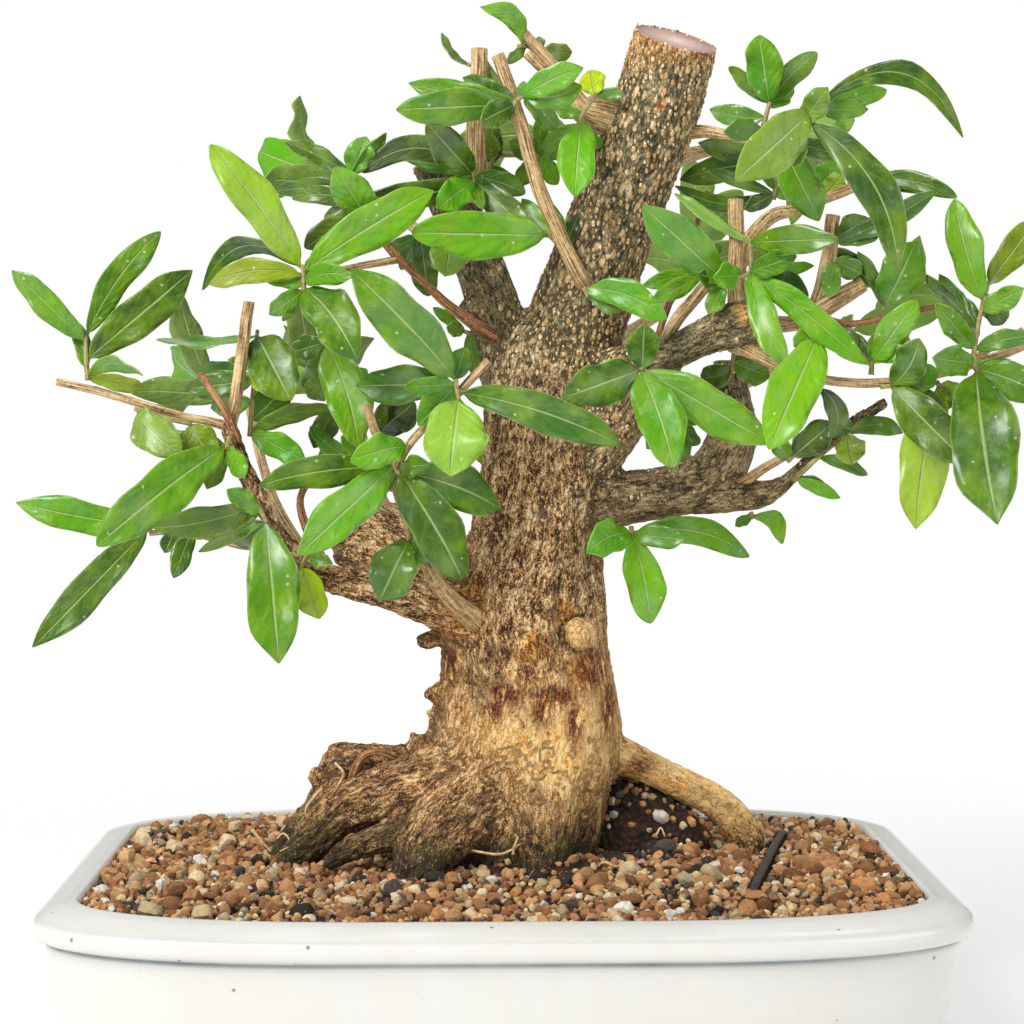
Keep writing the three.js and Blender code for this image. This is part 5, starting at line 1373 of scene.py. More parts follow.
# %% Shoots round the leader
SHOOTS |= shoots_of("""
upper_limb dmmmgmdm: -9.5 311 -18.5, -10 314 -21, -10.5 317.5 -22: -10 315 -26.5 333 12.5 -34 0 2,
-10 313 -22.5 303.5 11.5 -34, -10 313 9.5 295.5 11 -24 0 1, -9.5 314 8.5 308.5 8.5 -20 1 1,
-10.5 316 -49.5 316 9.5 -30 -8 0, -10.5 315 -40 325.5 6 -22 1 0, -10 314 -48 307.5 10 -24 3 0,
-9.5 312 -7 303.5 4.5 -30

upper_inner dbmdmgmm: -4.5 312 -6, -3 321 -5, 4 322 -6, 13.5 322 -8: -4 318 -3.5 333.5 8.5 -4,
-3 320 -4.5 329.5 6.5 -10, -4 319 5 310.5 5 -12 0 0, 12 320 3 327 8.5 -14,
13.5 322 14.5 337 5.5 -12, 13 321 27 322 8 -12 2, 12 320 6 311 7 -10, 13 321 20 312 7 -8

top_left mmmmmmmm: 4 337.5 -36, 5 341 -36.5, 8 343 -37: 4.5 340 -37.5 338 12.5 -42 0 2,
4.5 340 -7 334 9.5 -48, 7 342 29 353 9.5 -48 1 2, 8 342.5 28.5 346.5 9.5 -42 -2 1,
8 342 19.5 331 8 -34 1 1, 4.5 341.5 -33.5 347.5 9 -28 1 1, 5 341.5 -14 349.5 7 -24,
7 343 8 348 4 -38

top mgmm: 13.5 357.5 -16, 9.8 360.4 -15, 6 360.5 -21: 8 359.5 -7.5 374 7.5 -26 -5 1,
13 358 25.5 358.5 7 -8, 13.5 357.5 13.5 364 4 -8, 9 360.5 2 354.5 4 -22

tip_left mm: -4.2 352 -14, -8 353 -11.5, -12 354 -14: -11.8 354 -21 365.3 3.5 -12 2 0 40,
-4.5 352 -3.5 340.5 3.5 -14

leader_knob mmmymm: 28.5 331 -24, 28 335 -28, 31 340 -28, 34 344.3 -25:
28 334 26 307.5 13.5 -38 0 2, 28.5 333 14 324 7 -20, 29 331.5 35 324.5 6 -24,
33 343 31.5 352 9.5 -26, 34 344 43.5 343.5 4.5 -32, 29 336 19 338 5 -26

front_twig mmmd: 25 283 -20, 21.5 289 -22, 16.5 294 -24.5: 17 293.5 -31.5 294.5 17 -40 0 2,
18 293 7 307 6.5 -20, 24 286 17.5 305.5 5.5 -16 0 0, 22 288 28 302 5 -18

hanging_dark gdmm: -17 293 -15, -24 294 -18, -31 293 -19: -18 293 -20 279.5 14.5 -26,
-29 293 -26 271.5 10 -12, -31 293 -41 288 5 -19, -30 292 -36 281 6 -14

limb_base bmm: -10.5 258.5 -9, -13.5 259.5 -9.5: -13 259.5 -19.5 261 5.5 -13,
-13.5 260 -24.5 268 4.5 -10, -12 259 -9 243 6 -8

pale_leaves mmmmpmmy: -16.5 242.5 -46.5, -16 239 -46.5, -15.3 235 -47:
-16.5 242 -53.5 281 17.5 -60 -1 3, -16 242 -13 254 7.5 -44, -16 241 -34.5 239.5 6.5 -56,
-16 240 -30 226 10.5 -50, -15.5 235.5 -18.5 208 22 -58 0 2, -15.5 237.5 43.5 218.5 13.5 -58 2.5 3,
-16.5 241 -52.5 240 13.5 -34, -15.4 236 -7 211.5 5.5 -40

cut_twig mmmmmdb: -36 208 -45.5, -38.5 212 -46, -33 219 -47: -33 218.5 -54 213 11.5 -58 -1 2,
-38 211 -87 204.5 11.5 -46 -2 2, -38.5 211 -73 179.5 15 -60 0 2, -36.5 210 -14 170.5 17.5 -52 1 3,
-36 210 -26 211.5 7.5 -50 1, -36.5 209 -0.5 196 16 -42 2 2, -37 210 -57 193.5 9.5 -50
""")
print("with those round the leader:", len(SHOOTS))

# %% [markdown]
# Lower down on the left, shoots hang from the thin low limb and from the twigs behind it.

# %% Low shoots at the left
SHOOTS |= shoots_of("""
left_middle mdggdmmd: -59.3 231.5 -3, -62 243 -10, -63 257 -20: -63.5 256.5 -51.5 218.5 16 -34 2 2,
-63 256 -75 252 9 -14, -63 252 -70 238 8.5 -6, -62 242 -69.5 236.5 9.5 -12, -60 233 -67 218 9.5 -14,
-60 234 -48 246 9 2, -61 238 -50 228 9 0, -62 250 -56 262 9 -6

behind_twig dmdmmmm: -44.5 204 -12, -44.5 213 -14, -44.5 224 -16: -44.5 222 -31.5 234 13 -22,
-44.5 223 -42 234 5 -26, -44.5 206 -35 208.5 7 -22, -44.5 209 -52 206 8 -24,
-44.5 213 -68.5 225.5 7 -14 3, -44.5 205 -37 203.5 4 -18, -44.5 212 -57 222 8 -24

low_left mmmmmdmm: -108 188.8 -24, -117 190.5 -24.5, -126.5 189.8 -25:
-126.5 189.5 -168 146.5 12.5 -40 0 2, -126 190 -173.5 198.5 12 -24 1 2, -126 190 -121 200.5 5.5 -30,
-121 190 -112 205 6.5 -20, -110 189 -117.5 171.5 7.5 -32, -116.5 190 -120.5 180.5 7 -32,
-126 189.5 -138 184 5 -36, -126 190 -133 197 6 -14

left_front mmmmm: -97 222 -34.5, -98.5 217.5 -36: -98 218.5 -144 183.5 17 -54 -1 3,
-98 219 -127 218 8 -36 -2, -98 218 -105.5 203 7 -34, -97.5 219 -92 207 7 -40, -98 218 -107 207 5 -28

left_hanging mgydmm: -87.5 198.5 -33.5, -84 191 -35.5: -83.5 191 -80 141 19 -50 0 2,
-87.5 197.5 -124.5 189.5 10.5 -44 2 1, -86 195 -113.5 186 7 -32, -84.5 192 -95 183 9.5 -30 0 1,
-84.5 192 -109 180.5 4.5 -28, -86 195 -98 203 7 -38

small_oval dm: -33 188.5 -43.5, -33.5 184.5 -44.5: -33.3 184.8 -44 163 16.5 -52 0 2,
-33.2 187 -26.5 176 6.5 -44

low_limb bym: -69.5 180 -31.5, -72 175 -32.5: -70 179 -61 176.5 5.5 -36,
-72 175.5 -65.5 156.5 11 -34, -71 177 -80 168 8 -34
""")
print("with the low ones at the left:", len(SHOOTS))

# %% [markdown]
# The right side is carried by two limbs. The upper shoots stand over them and run out to the
# right.

# %% Upper shoots at the right
SHOOTS |= shoots_of("""
right_top gddmmmgmm: 99.5 325.2 -42, 104 330 -48, 108 334.5 -51.5, 111.5 338.8 -53:
109 335.5 84 313.5 16.5 -66 0 2, 107 333 142 280.5 13.5 -72 8 2, 111 338 165 328.5 8.5 -64 17 0,
104 330 104.5 318.5 8.5 -56, 111 338 137.5 345.5 8 -46, 110 337 131 338.5 7 -50,
106 332 116 346 9 -40, 100 326 113.5 299 13.5 -50 0 2, 101 327 121.5 322 7 -36

right_crown mbmmmm: 92.5 330 -29, 94 335 -29.5, 95.5 341 -30: 95 340 91.5 364.5 13 -34 0 1,
95 340 112.5 359 8.5 -30 1, 95 340 81 353.5 5.5 -26, 93 331 79.5 330.5 8 -42,
94 335 74 338.5 7.5 -22 1, 95 339 104 347 7 -20

right_inner dddmgdm: 97 306.5 -5.5, 98 313 -7, 95.5 323 -8: 97 308 74 317 5 -14 0 0 20,
97 308 62 311.5 6.5 -24 5 0 20, 96 320 63.5 313.5 10 -16 -1, 97.5 310 91 321.5 4 -14,
96 322 70 326.5 8 -14 1, 97 308 87 303 6 -12, 97 308 106 309.5 6 -10

right_bud mmgmmmmmmmd: 79 276 -34, 84 278.5 -36.5, 89 281 -35, 88.5 292.5 -33:
80 277 50.5 304 15 -48 0 2, 88.5 292.5 119.5 292.5 10.5 -50 0 2, 88.5 291 62 309.5 5 -22 1 0 30,
89 281 105 286.5 8.5 -42, 87 280 112 283 5 -30, 85 279 76.5 279 9.5 -48, 80 276.5 70.5 280 8 -40,
79.5 276 74 266 7 -38, 89 280 101.5 247 10 -52 -1 2, 88.5 279.5 130 248 10 -56 1 2,
89 280 110 272 11 -38

limb_front mdmm: 52 248 -33.5, 49.5 245.5 -37: 50.5 246 97 219 15.2 -44 0 1.5,
49.6 247 51 261.5 11.6 -40, 49.5 246 22.5 236 15.6 -47 0 1.5, 50 245.5 61.5 211.5 16.6 -49 1 1.5

limb_under mmmm: 61.2 229.3 -26.5, 61.5 225 -26: 61.3 228 64.5 212.5 10 -20,
61.3 228.5 74 228.5 6 -24, 61.4 226 52 217.5 8 -24, 61.4 227 71 219 6 -22

leader_leaf mm: 29.5 275 -28, 31 271.5 -29: 29.6 274.5 58.5 264 11 -40 3 1, 30.5 273 42 266 5 -30

right_back mmmm: 72 279.5 -14, 72.5 283 -12: 72 280 50 275.5 6 -12 -1, 72 279.5 54.5 270.5 7 -22,
72.5 283 70 291 5 -14, 72.5 282.5 78 291 5 -8

right_twig mmmdmm: 119 284 -34, 119.6 292 -35: 119.5 291 155.5 309.5 7.5 -40 -1 1,
119.6 292 131 300.5 10 -28, 119.6 292 136.5 296 7 -32, 119.3 290 134 275 7.5 -26,
119 285 129 280 8 -38, 119 285 117 272 7 -40

right_disc mpmmmm: 113 306.3 4.5, 121 309.5 5, 131 313.3 5: 114 307 118.5 320 11 4,
116 308 121.5 315.5 8 -4, 130 312.5 120.3 336.5 6.5 -4 3 0 20, 131 313 162.5 307.5 7.5 -10 3,
131 313 157.5 310 5 0, 114 307 107 312 7 6
""")
print("with the upper ones at the right:", len(SHOOTS))

# %% [markdown]
# The last ones hang below the right limbs or end their long outer twig.

# %% Low shoots at the right
SHOOTS |= shoots_of("""
right_spur ydmmmm: 132.5 244 -39.5, 132.8 249 -40: 132.6 247 112 264.5 5.5 -44 2 0 20,
132.6 247 123 260 7 -32, 132.8 249 134.5 259.5 5 -44, 132.8 249 149 250.5 6 -48 2,
132.8 249 148.5 270.5 11 -48 0 1, 132.8 248.5 141 256 7 -34

right_low dddm: 136 239.8 -42, 140 240 -44: 139.5 240 168 211.5 16 -56 0 2,
139 240 159 229.5 12 -46 0 1, 139.5 240 149.5 257 12 -46 -2, 140 240 157 245.5 11 -40

right_hanging pmy: 156 241.5 -37, 158 238.8 -36: 157 240 149 188.5 17 -38 -1 2,
157.5 239.5 160 231 7 -34, 157 240.5 165 237 7 -34

far_right mmmmmmmymmmdmd: 171 245 -45, 169.3 249 -46.5, 171 262 -46, 174.5 277.5 -44:
170.5 246 178.5 191.5 23.5 -78 -1 3, 170 247.5 155.5 250 11 -66, 170.5 246 196 236 13.5 -54 1,
170 253 190 258 7 -52 1, 170 248 187 243 9 -38, 172.5 266 187 275 8 -50,
173.5 271 162 307 12 -50 1 2, 174.3 276 192 300 10.5 -46, 170 255 163 272.5 9.5 -38,
169.8 253 156 269 8 -56, 170.5 257 156.5 280.5 6.5 -30, 170.8 260 150 281 4 -36,
174 274 180 262 9 -36, 171 245.5 180 234 8 -40

right_oval mm: 136.3 266.7 -31, 137.3 268.5 -32: 137.3 268.3 148.5 291.5 16 -36 0 1,
137 268 127.5 288 4.5 -24 -1

right_front bmm: 112.5 262.5 -37.5, 113.5 257.5 -42: 113.4 258 96.5 218.5 18 -64 0 3,
113 260 105 254 8 -46, 112.8 262 122 258 7 -40

right_under dmg: 102.5 213 -20.5, 106 216 -20.5: 104 214.5 119 227 11 -26, 103 213.5 98.5 222 7 -24,
105 215 108 223.5 5 -22

right_curled mmmpmm: 104.5 206 -20.5, 115 215.5 -22, 125 223.8 -23: 106 207 118.5 200.5 5.5 -22 1,
105 206.5 121.5 200 5 -26, 113 214 131.5 208 5 -22 1, 123 222 126 212 11 -30,
125 223.5 144.5 223 7 -26 3, 122 221 121 230 8 -30

curled_leaf dm: 112.5 239.8 -37.5, 114.5 239.6 -37.5: 114 239.6 118.5 221 7.5 -34 4,
112.8 239.7 98.5 231 10 -24

knuckle_back mmm: 83.5 253 -17, 82.5 246.5 -14: 83 249 96 243 10 -14, 82.8 248 91 252.5 6 -12,
82.7 247.5 71 243.5 9 -8 2

limb_tip mm: 89.5 194.5 -13, 90.5 192.5 -14: 90 193.5 101 183.5 7 -18 4, 90 193.5 84 190 4 -16

trunk_right mmmm: 46.5 189.3 -17, 46.8 186.5 -20: 46.7 187 31 180.5 12.5 -42 -2 1,
46.7 187.5 89.5 178.5 10.5 -24 5 1, 46.7 187 66 185 8.5 -34 0 1, 46.8 186.6 53.5 154.5 14 -28 1 2
""")
print("front shoots:", len(SHOOTS), "with", sum(len(s[2]) for s in SHOOTS.values()), "leaves")

# %% [markdown]
# Behind the crown seven more shoots are given only by their place and the way they grow. Each
# letter of the tables stands for a green, and the blades' depth varies by a share of their length.

# %% Far shoots and greens
FAR_SHOOTS = [
    ((-52, 232, 56), (-0.5, 0.6, 0.4)),
    ((-46, 308, 48), (-0.7, 0.5, 0.3)),
    ((22, 330, 46), (-0.5, 0.7, 0.1)),
    ((94, 330, 48), (0.5, 0.8, -0.1)),
    ((64, 276, 58), (0.3, 0.7, 0.5)),
    ((118, 256, 50), (0.7, 0.6, 0.3)),
    ((-90, 232, 30), (-0.6, 0.7, 0.3)),
]
BENDS = [0, -4, 4, -8, 8, -12, 12, -17, 17, -23, 23, -30, 30]
SPREAD = 0.32
# g is a greyish green that stands partly for a waxy bloom and partly for painted sheen
TINTS = {
    "m": "#4f9003", "d": "#2e5c02", "g": "#668f38", "b": "#6ca004", "y": "#90b00c", "p": "#88ac34",
}
FAR_TONES = "mmdmm"
FAR_STEM = 30
print("far shoots:", len(FAR_SHOOTS), "greens:", ", ".join(TINTS))

# %% [markdown]
# The CAD model spread the leaves in depth with a seeded rule and bent some of them out of each
# other's way. The same seeds give the same spread here, and the bend that was used is the one
# whose tip is found among the CAD node's own corners. So each leaf stays inside the solid that it
# stands for.

# %% Where a leaf ends
FRONT_SEED, FAR_SEED = 501, 31
TIP_FOUND = 0.2


def seeded(seed):
    state = seed
    while True:
        state = (state * 1664525 + 1013904223) % 4294967296
        yield state / 4294967296


def corners_of(node):
    points = point_array(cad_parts[node])
    tree = kdtree.KDTree(len(points))
    for i, point in enumerate(points):
        tree.insert(point, i)
    tree.balance()
    return tree


def clear_tip(corners, tip_at):
    tips = [tip_at(bend) for bend in BENDS]
    misses = [corners.find(tip)[2] for tip in tips]
    best = min(range(len(BENDS)), key=lambda k: misses[k])
    return tips[best] if misses[best] < TIP_FOUND else None


print("tips are looked up among the corners of", len(SHOOTS) + len(FAR_SHOOTS), "nodes")

# %% [markdown]
# A front leaf starts at the spot on the stem that is nearest to where the table puts it. Leaves of
# the far shoots follow the way opposite leaves grow: pair after pair, each pair turned a quarter
# from the last, with one leaf at the end.

# %% Front and far leaves
def front_leaves(stem, rows, random, corners):
    points = [seen(*place) for place in stem]
    axis = [a.lerp(b, t) for a, b in zip(points, points[1:]) for t in (0.1, 0.3, 0.5, 0.7, 0.9)]
    for row in rows:
        base_x, base_z, tip_x, tip_z, width, tip_y, *rest = row
        bow, arch, roll = (*rest, 0, 0, 0)[:3]
        spread = SPREAD * (2 * next(random) - 1)
        place = seen(base_x, base_z, axis[0].y)
        base = min(axis, key=lambda p: math.hypot(p.x - place.x, p.z - place.z))
        depth = tip_y + spread * math.hypot(tip_x - base_x, tip_z - base_z)
        tip = clear_tip(corners, lambda bend: seen(tip_x, tip_z, depth + bend))
        yield None if tip is None else (base, tip, EYE - base, width, bow, arch, roll)


def far_leaves(root, along, random, corners):
    side = Vector((0, 0, 1)).cross(along).normalized()
    for k in range(len(FAR_TONES)):
        pair = k // 2
        base = root + along * FAR_STEM * min(0.95, (pair + 0.9) / 2)
        turn = pair * math.pi / 2 + (k % 2) * math.pi + (next(random) - 0.5) * 0.9
        length = 30 + 12 * next(random)
        lean = 0.2 if pair == 2 else 0.9 + 0.6 * next(random)
        width = length * (0.32 + 0.12 * next(random))
        out = Matrix.Rotation(turn, 3, along) @ side
        span = (along + out * lean).normalized() * length
        tip = clear_tip(corners, lambda bend: base + span + along * bend)
        yield None if tip is None else (base, tip, along, width, 0, 2, 0)


print("leaves on a far shoot:", len(FAR_TONES))

# %% [markdown]
# A leaf has two faces that look different. The upper one is a deep, waxy green with a pale midrib
# and faint side veins; the lower one is paler and duller. The leaf's UV map runs across and along
# the blade, so the veins are drawn from it. Solidify gives the blade its thickness and puts the
# second material on the underside.

# %% Leaf finishes
def leaf_colour(tree, place, under, veins):
    rib, side_veins, edge = veins
    tint = attribute(tree, "tint").outputs["Color"]
    if under:
        colour = blend(tree, 0.6, tint, paint("#8ca355"))
    else:
        clouds = effect(tree, "patches", place, Scale=95.0, Low=0.35, High=0.7)
        colour = tinted(tree, clouds, 0.42, tint, "#8db01c")
    colour = tinted(tree, side_veins, 0.07, colour, "#9dbb62")
    colour = tinted(tree, rib, 0.6, colour, "#b5cb7e")
    chalk = effect(tree, "specks", place, Scale=560.0, Share=0.025)
    colour = tinted(tree, chalk, 0.5, colour, "#d3dfc4")
    return tinted(tree, edge, 0.4, colour, "#b9c578")


def leaf_material(name, under):
    material, tree, surface = new_material(name)
    skin = put(tree, "SeparateXYZ", {0: put(tree, "UVMap").outputs[0]})
    place = place_of(tree)
    off = math_of(tree, "ABSOLUTE", math_of(tree, "SUBTRACT", skin.outputs[0], 0.5))
    rib = ranged(tree, off, 0.008, 0.045, 1.0, 0.0, "SMOOTHSTEP")
    edge = ranged(tree, off, 0.47, 0.495, 0.0, 1.0)
    wobble, swell = noise_of(tree, place, 300.0, 3.0), noise_of(tree, place, 90.0, 1.0)
    slant = scaled(tree, wobble, 0.1, scaled(tree, off, -0.42, skin.outputs[1]))
    slant = scaled(tree, swell, 0.16, slant)
    quilt = math_of(tree, "SINE", times(tree, slant, 62.0))
    veins = rib, ranged(tree, quilt, 0.6, 1.0, 0.0, 1.0), edge
    height = scaled(tree, wobble, 1.2, scaled(tree, quilt, -0.08, times(tree, rib, -0.8)))
    height = scaled(tree, swell, 3.6, height)
    waxy = effect(tree, "patches", place, Scale=42.0, Low=0.4, High=0.6)
    wire(tree, surface, Base_Color=leaf_colour(tree, place, under, veins),
         Roughness=scaled(tree, wobble, 0.24, 0.5 if under else 0.26),
         Normal=bumped(tree, height, 0.75, 0.0009), Specular_IOR_Level=0.2,
         Coat_Weight=0.0 if under else scaled(tree, waxy, 0.8, 0.1),
         Coat_Roughness=0.3, Coat_IOR=1.65)
    return material


UPPER, UNDER = leaf_material("leaf_upper", False), leaf_material("leaf_under", True)
SHOOT = twig_material("young_shoot", "#6b5a33", "#93824c", "#b9b074")
finish(BLANK, UPPER, UNDER)
print("leaf finishes:", UPPER.name, UNDER.name)

# %% [markdown]
# Now the shoots are put together one by one: the leaves are shaped and joined, thickened, and
# joined with their stem. Each shoot stands for the CAD node of the same name. No two leaves have
# quite the same green: each is lighter or darker and warmer or cooler by chance.

# %% Dressing every shoot
LEAF_THICKNESS = 0.45


def stem_of(places, look):
    stations = [(*place, 1.0 - 0.25 * k / (len(places) - 1)) for k, place in enumerate(places)]
    piece = twig_of(stations, sides=8, per_span=4, name="stem", look=look)
    finish(piece, SHOOT, SHOOT)
    return piece


def dressed(node, places, leaves, tones, luck, look=seen):
    parts = []
    for leaf, tone in zip(leaves, tones):
        if leaf is None:
            continue
        light, warm = 0.32 + 1.15 * luck.random(), luck.random()
        tint = np.array(paint(TINTS[tone])[:3]) * light * (0.85 + 0.4 * warm, 1, 1.15 - 0.35 * warm)
        shape = leaf_points(*leaf, 20 * luck.random())
        parts.append(leaf_of(shape, (*tint, 1)))
    blades = joined("blades", parts)
    activate(blades)
    edit_all()
    bpy.ops.mesh.remove_doubles(threshold=MERGE)
    end_edit()
    applied(blades, "SOLIDIFY", thickness=LEAF_THICKNESS * MM, offset=-1, material_offset=1)
    shoot = joined(node.replace("leaves", "shoot", 1), [blades, stem_of(places, look)])
    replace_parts(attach(shoot, "root"), node)
    return len(parts)


count = 0
luck = np.random.default_rng(7)
for index, (name, (tones, places, rows)) in enumerate(SHOOTS.items()):
    node = f"leaves_{name}"
    leaves = front_leaves(places, rows, seeded(FRONT_SEED + index), corners_of(node))
    count += dressed(node, places, leaves, tones, luck)
print("front leaves:", count)

# %% [markdown]
# Behind the crown, where the front elevation shows little, the seven far shoots fill the tree out
# to the back. Their places are already real ones, so their stems are rolled as they are.

# %% Shoots at the back
def dressed_far(index, place, way, luck):
    node = f"leaves_back_{index + 1}"
    root, along = seen(*place), Vector(way).normalized()
    leaves = list(far_leaves(root, along, seeded(FAR_SEED + index), corners_of(node)))
    places = [root + along * FAR_STEM * t for t in (0, 0.5, 1)]
    return dressed(node, places, leaves, FAR_TONES, luck, look=lambda x, y, z: Vector((x, y, z)))


count = sum(dressed_far(index, place, way, luck) for index, (place, way) in enumerate(FAR_SHOOTS))
bpy.data.objects.remove(BLANK)
print("back leaves:", count)

# %% [markdown]
# The soil is a mix of baked clay crumbs, pumice and gravel, two to eight millimetres across. A
# bumpy plane with a soil texture would look like a rug, so the stones are real. Pebbles start as
# a cube cut in four on every side and pulled toward a sphere; crumbs start as a twenty-sided
# ball. Both are knocked out of shape at random and flattened a little.

# %% Modelling the stones
def stone(seed, flat, crumb):
    deselect()
    if crumb:
        bpy.ops.mesh.primitive_ico_sphere_add(subdivisions=1, radius=1)
    else:
        bpy.ops.mesh.primitive_cube_add(size=2)
    made = bpy.context.object
    edit_all()
    if not crumb:
        bpy.ops.mesh.subdivide(number_cuts=1)
        bpy.ops.transform.tosphere(value=0.8)
    bpy.ops.transform.vertex_random(offset=0.26 if crumb else 0.17, uniform=0.6, seed=seed)
    bpy.ops.transform.resize(value=(1.12, 0.88, flat))
    end_edit()
    points = vectors_of(made, "co")
    faces = [tuple(f.vertices) for f in made.data.polygons]
    bpy.data.objects.remove(made)
    return points / np.abs(points).max(), faces


PEBBLES = [stone(seed, flat, False) for seed, flat in enumerate((0.8, 0.6, 0.9, 0.52, 0.7, 0.85))]
CRUMBS = [stone(seed, 0.9, True) for seed in range(10, 18)]
print("pebbles:", len(PEBBLES), "crumbs:", len(CRUMBS), "with", len(CRUMBS[0][1]), "faces each")

# %% [markdown]
# The trunk stands on humus that spills forward between its front roots and banks up behind the
# arched root at the right. Each heap starts as a ball, is flattened, and its points are pushed
# about at random until it looks like earth; then the two are joined.

# %% Heaps of humus
SOIL_HEIGHT = 66


def heap(x, y, half_size, height):
    deselect()
    bpy.ops.mesh.primitive_ico_sphere_add(subdivisions=4, radius=1)
    made = bpy.context.object
    bpy.ops.transform.resize(value=(half_size[0] * MM, half_size[1] * MM, height * MM))
    bpy.ops.transform.translate(value=(x * MM, y * MM, SOIL_HEIGHT * MM))
    bpy.ops.object.transform_apply(location=True, rotation=True, scale=True)
    edit_all()
    bpy.ops.transform.vertex_random(offset=1.3 * MM, seed=2)
    end_edit()
    return made


HEAP = joined("humus_heap", [heap(16, -30, (30, 15), 10), heap(42, 13, (35, 22), 31)])
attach(HEAP, "root")
print("heap faces:", len(HEAP.data.polygons))

# %% [markdown]
# A stone may lie only inside the tray's wall, and it falls from above onto the bed or a heap. A
# ray that is shot straight down finds how high the ground is, and trees of faces tell how near
# the wood and the wire are.

# %% Where stones may lie
DROP_HEIGHT = 130


def in_tray(x, y, inset):
    depth = CORNER_DEPTH - inset / 4
    out_x = max(abs(x) - (HALF_LENGTH - inset - CORNER_LENGTH), 0) / CORNER_LENGTH
    out_y = max(abs(y) - (HALF_DEPTH - inset - depth), 0) / depth
    return out_x ** ROUNDNESS + out_y ** ROUNDNESS < 1


def tree_of(piece):
    return BVHTree.FromObject(piece, bpy.context.evaluated_depsgraph_get())


BED = [tree_of(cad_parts["soil"]), tree_of(HEAP)]
WOOD_TREE, TIE_TREE = tree_of(wood), tree_of(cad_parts["anchor_tie"])


def ground(x, y):
    start = Vector((x, y, DROP_HEIGHT)) * MM
    hits = [tree.ray_cast(start, Vector((0, 0, -1)))[0] for tree in BED]
    return max((hit.z / MM for hit in hits if hit), default=SOIL_HEIGHT)


print("ground at the bank behind the arched root:", round(ground(42, 13), 1), "mm")

# %% [markdown]
# Stones are thrown one after another at seeded random places, the big ones first. One stays if it
# keeps its distance from the earlier ones, which are looked up in a grid of cells, and from the
# tray's wall, the wood and the wire. On the bank some are left out, so that its earth shows.

# %% Throwing the stones
CELL = 8.5
BANK_HEIGHT = 78
INNER_WALL = 13.4
THROW_WIDTH, THROW_DEPTH = 284, 200


def is_clear(place, radius):
    spot, normal, _, gap = WOOD_TREE.find_nearest(place)
    if gap < radius * 0.6 * MM or (place - spot).dot(normal) < 0:
        return False
    return TIE_TREE.find_nearest(place)[3] >= (radius + 0.6) * MM


def thrown(sizes, luck):
    kept, grid = [], {}
    for radius in np.sort(sizes)[::-1]:
        x, y = (luck.random(2) - 0.5) * (THROW_WIDTH, THROW_DEPTH)
        if not in_tray(x, y, INNER_WALL + 0.8 * radius):
            continue
        home = (int(x // CELL), int(y // CELL))
        around = [other for i in (-1, 0, 1) for j in (-1, 0, 1)
                  for other in grid.get((home[0] + i, home[1] + j), [])]
        if any(math.hypot(x - a, y - b) < 0.76 * (radius + r) for a, b, r in around):
            continue
        z = ground(x, y) + radius * (0.1 + 0.5 * luck.random())
        if z > BANK_HEIGHT and luck.random() < 0.25:
            continue
        if not is_clear(Vector((x, y, z)) * MM, radius):
            continue
        grid.setdefault(home, []).append((x, y, radius))
        kept.append((x, y, z, radius))
    return kept


soil_luck = np.random.default_rng(21)
sizes = np.concatenate([2.3 + 1.7 * soil_luck.random(420) ** 2, 1.5 + 0.8 * soil_luck.random(1700),
                        0.85 + 0.65 * soil_luck.random(15000)])
granules = thrown(sizes, soil_luck)
print("granules:", len(granules))

# %% [markdown]
# Fine cream rootlets lie on the soil and hang from the broken root, and one woody root loops over
# it. Each is rolled round a smooth path, like the twigs.

# %% Rootlets
ROOTLETS = paths_of("""
-60 104.5 -12 0.5, -57 100 -14 0.5, -62.5 91 -15 0.35;
-64.5 95.5 -12 0.55, -70 89 -13 0.5, -70.5 84 -12 0.3;
-54 99 -12 1.5, -50.5 106.5 -13 1.5, -44 108.5 -12 1.3, -38 106 -9 1;
-90 80.5 -8 0.6, -86.5 76 -9 0.5, -83 72.5 -10 0.35;
-81 77 -8 0.4, -78.5 79 -9 0.4, -76 75 -11 0.35, -80 72.5 -13 0.3;
-11 72.5 -36 0.5, -2 71 -38 0.5, 3 72.5 -38 0.45, 8 76 -36 0.35;
4 71 -38 0.5, 4.5 74 -38 0.4, 6 77.5 -37 0.3;
33.5 65.5 -34 0.5, 37 68 -33 0.45, 41.5 66.5 -34 0.4, 44 68.5 -33 0.3;
56 78 -18 0.4, 57.5 80.5 -18 0.35, 59 77.5 -19 0.3""")
WOODY_ROOT = 2
ROOT_SKIN = twig_material("rootlet_skin", "#8a6238", "#d9b478", "#f3dfb2")
threads = [twig_of(stations, sides=8, name="rootlet") for stations in ROOTLETS]
for number, piece in enumerate(threads):
    finish(piece, RED_TWIG if number == WOODY_ROOT else ROOT_SKIN, SAWN)
threads = joined("rootlets", threads)
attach(threads, "root")
print("rootlets:", len(ROOTLETS))

# %% [markdown]
# Thousands of separate objects would slow Blender down, so the copies of each kind are laid into
# one mesh. Each copy is turned and sized on its own, and gets one random number as an attribute,
# by which its material shifts the colour from stone to stone. Small ones are copies of a crumb.

# %% Strewing the stones
CRUMB_RADIUS = 1.9


